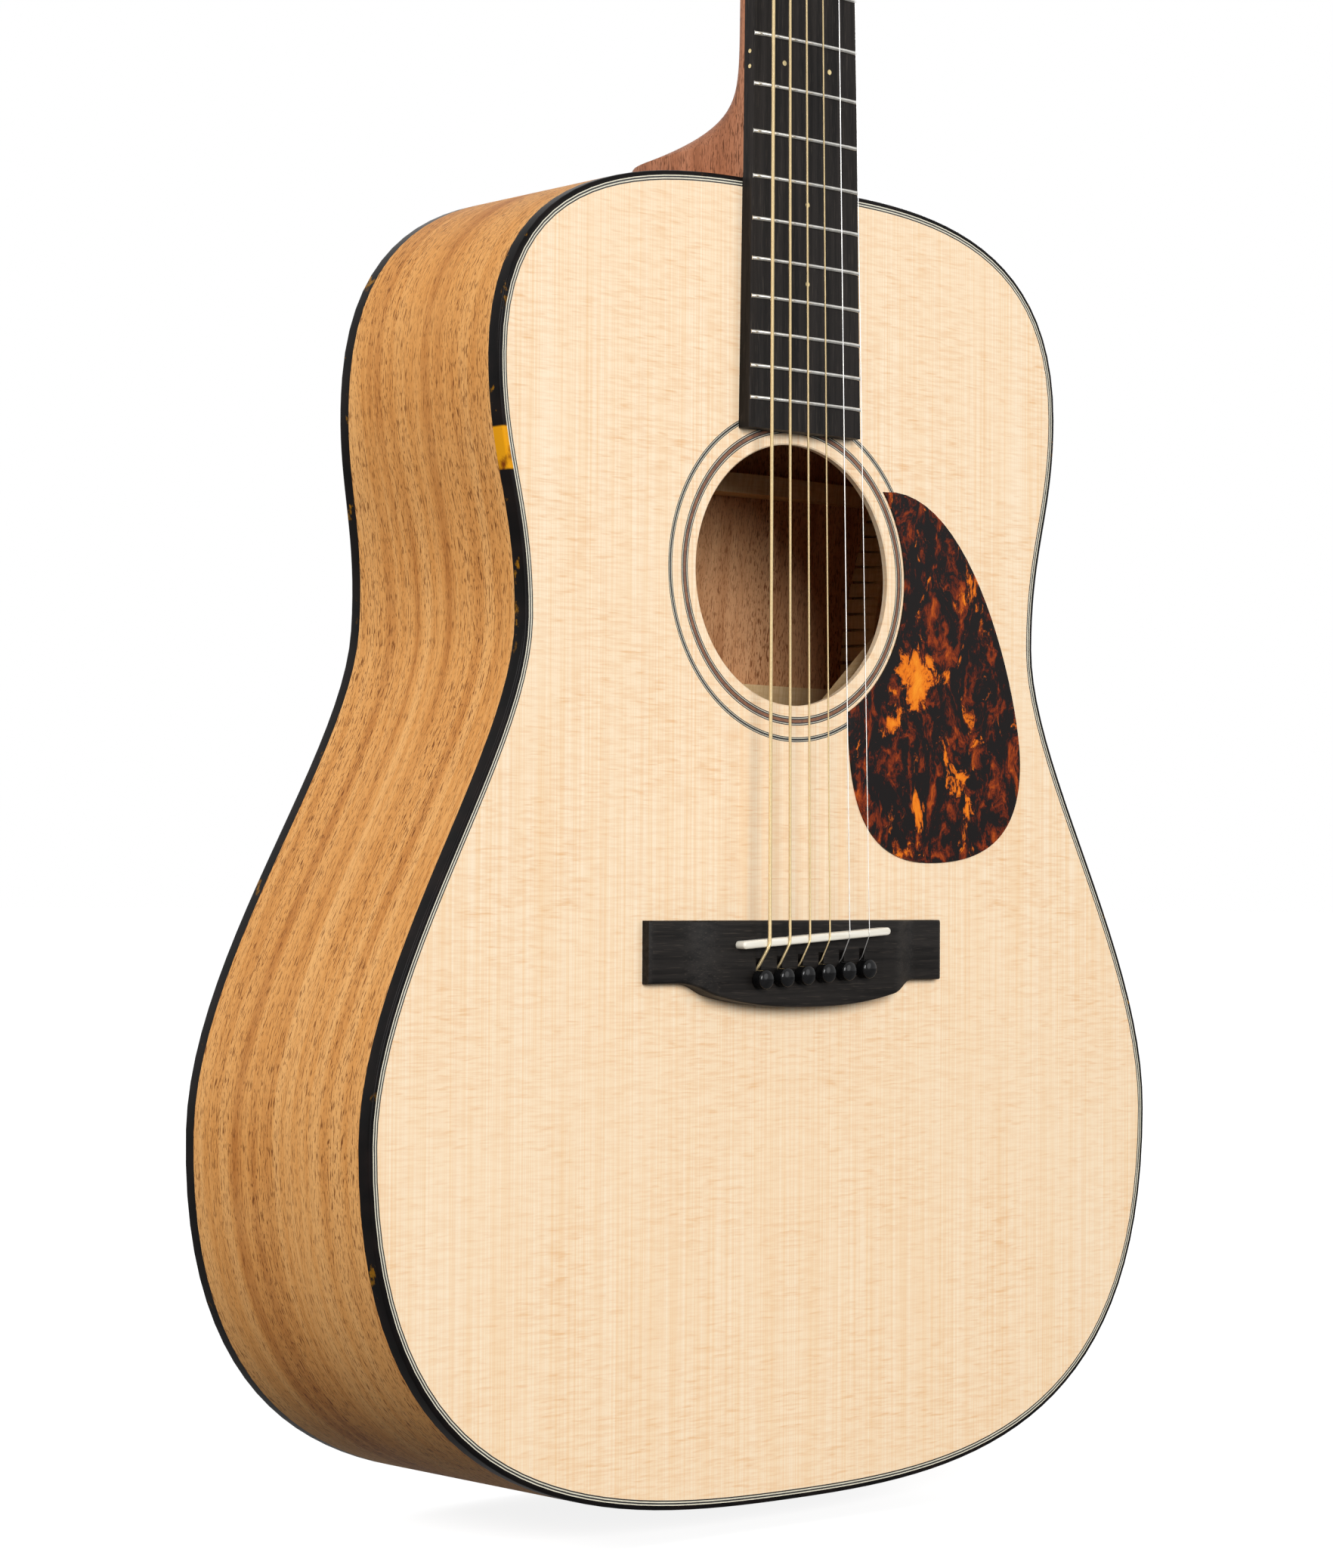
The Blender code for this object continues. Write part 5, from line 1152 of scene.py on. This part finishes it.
def head_solid(front, back, start):
    loop = head_loop(start)
    return solid([[Vector((x, y, n)) for x, y in loop] for n in (front, back)])


def on_head(bm, place=(0, 0, 0)):
    """Move a shape from the headstock's own frame to where it belongs."""
    bm.transform(HEAD @ Matrix.Translation(place))
    return bm


def tuners():
    """Each tuner's string number, side and place along the head."""
    for number in range(1, 7):
        side = -1 if number > 3 else 1
        order = 6 - number if side < 0 else number - 1
        yield number, side, FIRST_POST + POST_SPACING * order


def post_holes(radius, low, high):
    bm = bmesh.new()
    for number, side, along in tuners():
        loop = [(side * POST_X + x, along + y) for x, y in circle(radius, 24)]
        solid([[Vector((x, y, n)) for x, y in loop] for n in (low, high)], bm)
    return on_head(bm)


def make_neck(wood):
    neck = add_object("neck_carved", neck_shaft(), [wood])
    head = head_solid(0.0, -HEAD_THICKNESS, 0.0)
    round_edges(head, HEAD_EDGE_ROUND, lambda co: co.z < GAP - HEAD_THICKNESS and co.y > HEAD_SHOULDER)
    carve(neck, on_head(head), "UNION")
    carve(neck, post_holes(POST_RADIUS + GAP, -HEAD_THICKNESS * 2, HEAD_THICKNESS))
    settle(neck, ["neck"])


def make_headplate(wood):
    bm = head_solid(HEAD_FACE, 0.0, GAP)
    round_edges(bm, HEADPLATE_EDGE_ROUND, lambda co: co.z > HEAD_FACE - GAP)
    plate = add_object("headplate_veneer", on_head(bm), [wood])
    carve(plate, post_holes(POST_RADIUS + GAP, -HEAD_THICKNESS, HEAD_THICKNESS))
    settle(plate, ["headplate"])


def make_bushings(mat):
    """Pressed ferrules round the posts on the headstock's face."""
    inner = POST_RADIUS + GAP
    profile = [(inner, 0.0), (BUSHING_RADIUS, 0.0), (BUSHING_RADIUS, BUSHING_HEIGHT * 0.5),
               (BUSHING_RADIUS * 0.93, BUSHING_HEIGHT * 0.85), (inner * 1.15, BUSHING_HEIGHT),
               (inner, BUSHING_HEIGHT * 0.85)]
    bm = bmesh.new()
    for number, side, along in tuners():
        rings = turned_rings(profile)
        place = Vector((side * POST_X, along, HEAD_FACE))
        skin(bm, [[p + place for p in ring] for ring in rings], along=True)
    add_piece("tuner_bushings", on_head(bm), [mat])


def gear_ring(level):
    """One layer of the gear: straight-sided teeth, turned to follow the worm's lead."""
    lead = WORM_PITCH / (math.pi * (WORM_ROOT_RADIUS + WORM_CREST_RADIUS))
    turn = (level - WORM_LEVEL) * lead / GEAR_RADIUS
    step = 2 * math.pi / GEAR_TEETH
    root = GEAR_RADIUS - TOOTH_HEIGHT / 2
    tip = GEAR_RADIUS + TOOTH_HEIGHT / 2
    corners = ((-TOOTH_ROOT_SHARE, root), (-TOOTH_TIP_SHARE, tip),
               (TOOTH_TIP_SHARE, tip), (TOOTH_ROOT_SHARE, root))
    ring = []
    for tooth in range(GEAR_TEETH):
        middle = math.pi / 2 + (tooth + 0.5) * step + turn
        for share, radius in corners:
            a = middle + share * step
            ring.append(Vector((radius * math.cos(a), radius * math.sin(a), level)))
    return ring


def make_posts(mat):
    top = HEAD_FACE + POST_ABOVE_FACE
    low = WORM_LEVEL - GEAR_THICKNESS / 2
    high = WORM_LEVEL + GEAR_THICKNESS / 2
    levels = [low + (high - low) * i / 4 for i in range(5)]
    edge = POST_RADIUS / 4
    waist = top - POST_HOLE_BELOW_TOP
    foot = low - PLATE_THICKNESS
    rod = [(POST_RADIUS * 0.8, foot), (POST_RADIUS, foot + edge / 2)]
    rod += [(POST_RADIUS * share, waist + rise) for share, rise in POST_WAIST]
    rod += [(POST_RADIUS, top - edge), (POST_RADIUS - edge / 3, top - edge / 3), (POST_RADIUS - edge, top)]
    for number, side, along in tuners():
        name = f"tuner_post_{number}"
        post = add_object(f"{name}_turned", solid([gear_ring(level) for level in levels]), [mat])
        carve(post, turned(rod), "UNION")
        eye = turned([(POST_HOLE_RADIUS, -POST_RADIUS * 2), (POST_HOLE_RADIUS, POST_RADIUS * 2)], 16)
        eye.transform(Matrix.Translation((0, 0, waist)) @ Matrix.Rotation(math.pi / 2, 4, "Y"))
        carve(post, eye)
        post.data.transform(HEAD @ Matrix.Translation((side * POST_X, along, 0)))
        settle(post, [name], name)


def worm_radius(along, angle):
    """Radius of the threaded part: a right-hand thread whose crest faces the gear at its middle."""
    phase = along / WORM_PITCH - (angle - math.pi) / (2 * math.pi)
    off_crest = abs((phase + 0.5) % 1.0 - 0.5) * 2
    fall = min(max((off_crest - THREAD_CREST_SHARE) / THREAD_FLANK_SHARE, 0.0), 1.0)
    return WORM_CREST_RADIUS - (WORM_CREST_RADIUS - WORM_ROOT_RADIUS) * fall


def knob_share(place):
    """How wide the knob is at a share of its length, between the stated points."""
    for (low_share, low), (high_share, high) in zip(KNOB_PROFILE, KNOB_PROFILE[1:]):
        if place <= high:
            return low_share + (high_share - low_share) * smooth_step((place - low) / (high - low))
    return KNOB_PROFILE[-1][0]


def worm_rings(side):
    """The shaft, its worm and its knob along X, as rings of points."""
    start = HEAD_TOP_WIDTH / 2 + KNOB_STAND_OFF - POST_X

    def oval(x, width, thickness):
        return [Vector((side * x, width * across, thickness * up)) for across, up in circle(1.0)]

    def shaft(*places):
        return [oval(x, SHAFT_RADIUS, SHAFT_RADIUS) for x in places]

    def threaded(x):
        angles = [2 * math.pi * i / ROUND_SIDES for i in range(ROUND_SIDES)]
        polar = [(worm_radius(side * x, a), a) for a in angles]
        return [Vector((side * x, r * math.cos(a), r * math.sin(a))) for r, a in polar]

    def knob(x, share):
        return oval(start + x, KNOB_HALF_WIDTH * share, KNOB_HALF_THICKNESS * share)

    rings = shaft(-WORM_HALF - 3 * GAP - LUG_THICKNESS, -WORM_HALF)
    steps = WORM_TURNS * 16
    rings += [threaded(WORM_HALF * (2 * i / steps - 1)) for i in range(steps + 1)]
    rings += shaft(WORM_HALF + GAP / 2, start)
    steps = 24
    rings += [knob(GAP / 2 + KNOB_LENGTH * i / steps, knob_share(i / steps)) for i in range(steps + 1)]
    rings.append(knob(GAP + KNOB_LENGTH, KNOB_PROFILE[-1][0] * KNOB_CAP))
    return rings


def make_knobs(mat):
    for number, side, along in tuners():
        bm = on_head(solid(worm_rings(side)), (side * POST_X, along + MESH_DISTANCE, WORM_LEVEL))
        name = f"tuner_knob_{number}"
        add_piece(f"{name}_turned", bm, [mat], [name], name, 45)


def make_tuner_plates(mat):
    """Pressed plates with two lugs for each worm."""
    lug_middle = WORM_HALF + GAP * 2 + LUG_THICKNESS / 2
    for name, side in (("tuner_plate_bass", -1), ("tuner_plate_treble", 1)):
        places = [along for number, s, along in tuners() if s == side]
        low = min(places) - PLATE_END
        high = max(places) + MESH_DISTANCE + PLATE_END
        middle = side * POST_X
        half = PLATE_WIDTH / 2
        bm = box((middle - half, low, PLATE_BACK), (middle + half, high, PLATE_BACK + PLATE_THICKNESS))
        round_edges(bm, PLATE_EDGE_ROUND, lambda co: co.z < PLATE_BACK + GAP)
        plate = add_object(f"{name}_pressed", on_head(bm), [mat])
        carve(plate, post_holes(POST_RADIUS + GAP, -HEAD_THICKNESS * 2, HEAD_THICKNESS))
        lugs = bmesh.new()
        bores = bmesh.new()
        for along in places:
            y = along + MESH_DISTANCE
            for x in (middle - lug_middle, middle + lug_middle):
                faces = (x - LUG_THICKNESS / 2, x + LUG_THICKNESS / 2)
                solid([[Vector((face, y + dy, n)) for dy, n in lug_loop()] for face in faces], lugs)
            ends = (middle - lug_middle - LUG_THICKNESS, middle + lug_middle + LUG_THICKNESS)
            bore = circle(SHAFT_RADIUS + GAP, 20)
            solid([[Vector((x, y + dy, WORM_LEVEL + dn)) for dy, dn in bore] for x in ends], bores)
        carve(plate, on_head(lugs), "UNION")
        carve(plate, on_head(bores))
        settle(plate, [name])
        make_screws(name, middle, [low + PLATE_END / 3, high - PLATE_END / 3], mat)


def lug_loop():
    """A lug's outline round the shaft, rooted in the plate: (along, out of the head)."""
    reach = LUG_WIDTH / 2
    root = PLATE_BACK + PLATE_THICKNESS / 2
    centre = WORM_LEVEL - LUG_BELOW_SHAFT + reach
    steps = 8
    arc = [math.pi * i / steps for i in range(steps + 1)]
    top = [(reach * math.cos(a), centre - reach * math.sin(a)) for a in arc]
    return [(reach, root)] + top + [(-reach, root)]


def make_screws(name, x, places, mat):
    """Round-headed slotted screws that hold a plate."""
    rings = turned_rings([(SCREW_RADIUS * share, PLATE_BACK - rise) for share, rise in SCREW_PROFILE], 24)
    bm = bmesh.new()
    for along in places:
        solid([[p + Vector((x, along, 0)) for p in ring] for ring in rings], bm)
    screws = add_object(f"{name}_screws", on_head(bm), [mat])
    high, low = SCREW_SLOT_LEVELS
    for along in places:
        slot = box((x - SCREW_RADIUS, along - SCREW_SLOT_HALF, PLATE_BACK - low),
                   (x + SCREW_RADIUS, along + SCREW_SLOT_HALF, PLATE_BACK - high))
        carve(screws, on_head(slot))
    settle(screws)


def bend(p0, p1, p2, steps):
    """Points on a quadratic curve, without its last one."""
    shares = [i / steps for i in range(steps)]
    return [p0 * (1 - t) ** 2 + p1 * 2 * t * (1 - t) + p2 * t * t for t in shares]


def post_turns(number, radius):
    """A string's turns round its post, from where it first touches it down towards the head's face."""
    side, along = next((s, a) for n, s, a in tuners() if n == number)
    reach = POST_RADIUS + GAP + radius
    start_out = HEAD_FACE + STRING_START_ABOVE_FACE
    drop = 2 * radius + STRING_TURN_GAP
    points = []
    for i in range(STRING_TURNS * LOOP_POINTS + 1):
        part = i / LOOP_POINTS
        a = (math.pi if side > 0 else 0.0) - side * 2 * math.pi * part
        across = side * POST_X + reach * math.cos(a)
        points.append(HEAD @ Vector((across, along + reach * math.sin(a), start_out - drop * part)))
    return points


def string_points(index):
    """One string from under the bridge plate, round its pin, over saddle and nut, onto its post."""
    radius = STRING_DIAMETERS[index] / 2
    x_pin, z_pin = pin_place(index)
    x_saddle = string_x(index, SADDLE_STRING_SPACING)
    x_nut = string_x(index, NUT_STRING_SPACING)
    z_groove = z_pin + PIN_SHANK_RADIUS - PIN_GROOVE_DEPTH + GAP + radius

    def at(x, height, z):
        return Vector((x, TOP_Y - height, z))

    below = -(TOP_THICKNESS + BRIDGE_PLATE_THICKNESS + 2 * GAP) - BRIDGE_HEIGHT / 2
    into_ramp = at(x_pin, BRIDGE_HEIGHT - RAMP_DEPTH * 0.8, z_groove)
    corner = at(x_pin, BRIDGE_HEIGHT - RAMP_DEPTH / 2, z_groove)
    out_of_ramp = at(x_pin, BRIDGE_HEIGHT + GAP, z_groove + PIN_HEAD_RADIUS)
    saddle_z = SADDLE_Z + SADDLE_SLANT * x_saddle
    saddle = at(x_saddle, SADDLE_TOP + GAP / 2 + radius, saddle_z - SADDLE_CREST / 2)
    nut = Vector((x_nut, board_top_y(0.0) - NUT_STRING_LIFT - radius, along_neck(-NUT_LENGTH / 2)))
    turns = post_turns(len(STRING_DIAMETERS) - index, radius)

    def over(edge, before, after, reach):
        start = edge + (before - edge).normalized() * reach
        end = edge + (after - edge).normalized() * reach
        return bend(start, edge, end, 5) + [end]

    points = [at(x_pin, below, z_groove)] + bend(into_ramp, corner, out_of_ramp, 8) + [out_of_ramp]
    points += over(saddle, out_of_ramp, nut, SADDLE_CREST)
    points += over(nut, saddle, turns[0], NUT_LENGTH / 3)
    return points + turns


def swept(points, radius):
    """A round wire along points, with the length along it stored on its points."""
    bm = bmesh.new()
    grain = bm.verts.layers.float_vector.new("grain")
    side = Vector((1, 0, 0))
    rings = []
    lengths = [0.0]
    for i, point in enumerate(points):
        ahead = points[min(i + 1, len(points) - 1)] - points[max(i - 1, 0)]
        ahead.normalize()
        side = (side - ahead * side.dot(ahead)).normalized()
        up = ahead.cross(side)
        rings.append([point + side * x + up * y for x, y in circle(radius, STRING_SIDES)])
        if i:
            lengths.append(lengths[-1] + (point - points[i - 1]).length)
    loops = skin(bm, rings)
    bm.faces.new(loops[0])
    bm.faces.new(loops[-1])
    for loop, length in zip(loops, lengths):
        for vert in loop:
            vert[grain] = (length, 0, 0)
    return bm


def make_strings(wound, plain):
    for index, diameter in enumerate(STRING_DIAMETERS):
        number = len(STRING_DIAMETERS) - index
        mat, slot = (wound, "bronze") if number > 2 else (plain, "steel")
        bm = swept(string_points(index), diameter / 2)
        add_piece(f"string_{number}_wire", bm, [mat], [f"string_{number}"], sharp=60)


def dress(names, mat):
    """A better finish on CAD nodes that stay."""
    for name in names:
        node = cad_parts[name]
        for slot in node.material_slots:
            slot.material = mat


def make_camera():
    cam = bpy.data.cameras.new("camera")
    cam.lens = CAMERA_LENS
    cam.sensor_width = CAMERA_SENSOR
    cam.clip_start = CAMERA_NEAR
    obj = bpy.data.objects.new("camera", cam)
    bpy.context.scene.collection.objects.link(obj)
    flat = math.cos(CAMERA_RISE)
    back = Vector((-math.sin(CAMERA_TURN) * flat, -math.cos(CAMERA_TURN) * flat, math.sin(CAMERA_RISE)))
    obj.location = CAMERA_TARGET + back * CAMERA_DISTANCE
    right = Vector((0, 0, 1)).cross(back).normalized()
    up = back.cross(right)
    across = right * math.cos(CAMERA_ROLL) + up * math.sin(CAMERA_ROLL)
    upward = up * math.cos(CAMERA_ROLL) - right * math.sin(CAMERA_ROLL)
    obj.rotation_euler = Matrix((across, upward, back)).transposed().to_euler()
    bpy.context.scene.camera = obj


def add_lamp(name, place, size, power):
    lamp = bpy.data.lights.new(name, "AREA")
    lamp.shape = "DISK"
    lamp.size = size
    lamp.energy = power
    obj = bpy.data.objects.new(name, lamp)
    obj.location = place
    obj.rotation_euler = (Vector(place) - Vector(AIM)).to_track_quat("Z", "Y").to_euler()
    bpy.context.scene.collection.objects.link(obj)


def make_stage():
    """A white floor and background with soft lamps all round."""
    bpy.context.scene.view_settings.view_transform = "Standard"
    for lamp in LAMPS:
        add_lamp(*lamp)
    make_world()
    make_floor()


def make_world():
    """White to the camera and in metal, and a weak even light for everything else."""
    world = bpy.data.worlds.new("studio")
    bpy.context.scene.world = world
    world.use_nodes = True
    w = Nodes(world.node_tree)
    plain = w.tree.nodes["Background"]
    plain.inputs["Color"].default_value = grey(1.0)
    plain.inputs["Strength"].default_value = WORLD_STRENGTH
    seen = w.node("ShaderNodeBackground", {"Color": grey(1.0)})
    rays = w.rays()
    shown = w.maths("MAXIMUM", rays["Is Camera Ray"], rays["Is Glossy Ray"])
    shown = w.maths("MAXIMUM", shown, rays["Is Transmission Ray"])
    choose = w.node("ShaderNodeMixShader", {0: shown, 1: plain.outputs[0], 2: seen.outputs[0]})
    w.feed(w.tree.nodes["World Output"].inputs["Surface"], choose.outputs[0])


def make_floor():
    """A pale floor that stays white to the camera but for a soft shadow."""
    f = Finish("floor", 0.9, specular=0.0)
    rays = f.rays()
    seen = rays["Is Camera Ray"]
    f.colour(f.mix(seen, grey(FLOOR_TONE), grey(FLOOR_TONE_SEEN)))
    away = f.node("ShaderNodeVectorMath", {0: f.place()}, operation="LENGTH").outputs["Value"]
    fade = f.spread(away, *FLOOR_FADE, FLOOR_GLOW_NEAR, 1.0)
    in_metal = f.maths("MULTIPLY", rays["Is Glossy Ray"], FLOOR_GLOW_IN_METAL)
    f.set("Emission Color", grey(1.0))
    f.set("Emission Strength", f.maths("ADD", f.maths("MULTIPLY", seen, fade), in_metal))
    bm = bmesh.new()
    bmesh.ops.create_grid(bm, x_segments=1, y_segments=1, size=FLOOR_HALF)
    add_object("floor", bm, [f.mat])


make_camera()
make_stage()

SIDE_TONES = (rgb(228, 172, 108), rgb(213, 150, 84), rgb(182, 118, 60))
BACK_TONES = (rgb(212, 162, 118), rgb(196, 143, 100), rgb(170, 116, 76))
NECK_TONES = (rgb(184, 128, 98), rgb(164, 108, 78), rgb(134, 84, 58))
SPRUCE = spruce_finish("spruce_top", rgb(251, 232, 204), rgb(243, 209, 166), rgb(224, 164, 98), 0.5)
BRACE = spruce_finish("spruce_brace", rgb(226, 196, 150), rgb(206, 172, 122), rgb(190, 140, 84), 0.7)
SIDE_WOOD = mahogany_finish("mahogany_side", Finish.grain, "X", SIDE_TONES, rgb(106, 58, 28), 0.45)
BACK_WOOD = mahogany_finish("mahogany_back", Finish.matched_place, "Z", BACK_TONES, rgb(128, 80, 50), 0.45)
NECK_WOOD = mahogany_finish("mahogany_neck", Finish.place, "Z", NECK_TONES, rgb(70, 38, 24), 0.42)
BOARD_EBONY = ebony_finish("ebony_board", "Z", rgb(36, 32, 30))
BRIDGE_EBONY = ebony_finish("ebony_bridge", "X", rgb(36, 33, 31))
SHELL = tortoise_finish("tortoise_guard")
BINDING = binding_finish("tortoise_binding")
WHITE = mottled_finish("white_line", rgb(232, 226, 204), rgb(210, 204, 184), 0.4)
BLACK = mottled_finish("black_line", rgb(28, 27, 27), rgb(15, 14, 14), 0.45)
RING_WOOD = mottled_finish("rosette_wood", rgb(146, 96, 64), rgb(98, 60, 40), 0.45, (500, 500, 500))
BONE = mottled_finish("bone", rgb(240, 236, 224), rgb(226, 220, 204), 0.35, (60, 60, 900))
DOT_GOLD = mottled_finish("dot_gold", rgb(228, 208, 154), rgb(204, 180, 120), 0.35)
PIN_BLACK = mottled_finish("gloss_black", rgb(20, 20, 21), rgb(11, 11, 12), 0.14, specular=0.2)
NICKEL = mottled_finish("nickel", rgb(214, 211, 204), rgb(190, 186, 178), 0.22, (200, 200, 200), 1.0)
FRET_METAL = mottled_finish("fret_metal", rgb(222, 220, 214), rgb(196, 193, 186), 0.2, (300, 300, 300), 1.0)
STEEL = mottled_finish("steel", rgb(232, 230, 226), rgb(212, 210, 206), 0.40, (300, 300, 300), 0.85)
WOUND = wound_finish("bronze_winding")

make_top_binding(BINDING, WHITE, BLACK)
make_back_binding(BINDING)
make_sides(SIDE_WOOD)
make_soundboard(SPRUCE)
make_rosette(RING_WOOD, WHITE, BLACK)
make_back(BACK_WOOD)
make_linings(BRACE)
make_pickguard(SHELL)
make_strap_button(PIN_BLACK)
make_bridge(BRIDGE_EBONY)
make_saddle(BONE)
make_pins(PIN_BLACK)
make_fingerboard(BOARD_EBONY)
make_frets(FRET_METAL)
make_dots(DOT_GOLD)
make_neck(NECK_WOOD)
make_headplate(BOARD_EBONY)
make_bushings(NICKEL)
make_posts(NICKEL)
make_knobs(NICKEL)
make_tuner_plates(NICKEL)
make_strings(WOUND, STEEL)
dress(["nut"], BONE)
dress(["truss_rod", "truss_rod_nut"], STEEL)
dress(["bridge_plate", "neck_block", "tail_block"], NECK_WOOD)
dress([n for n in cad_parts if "brace" in n or "tone_bar" in n], BRACE)
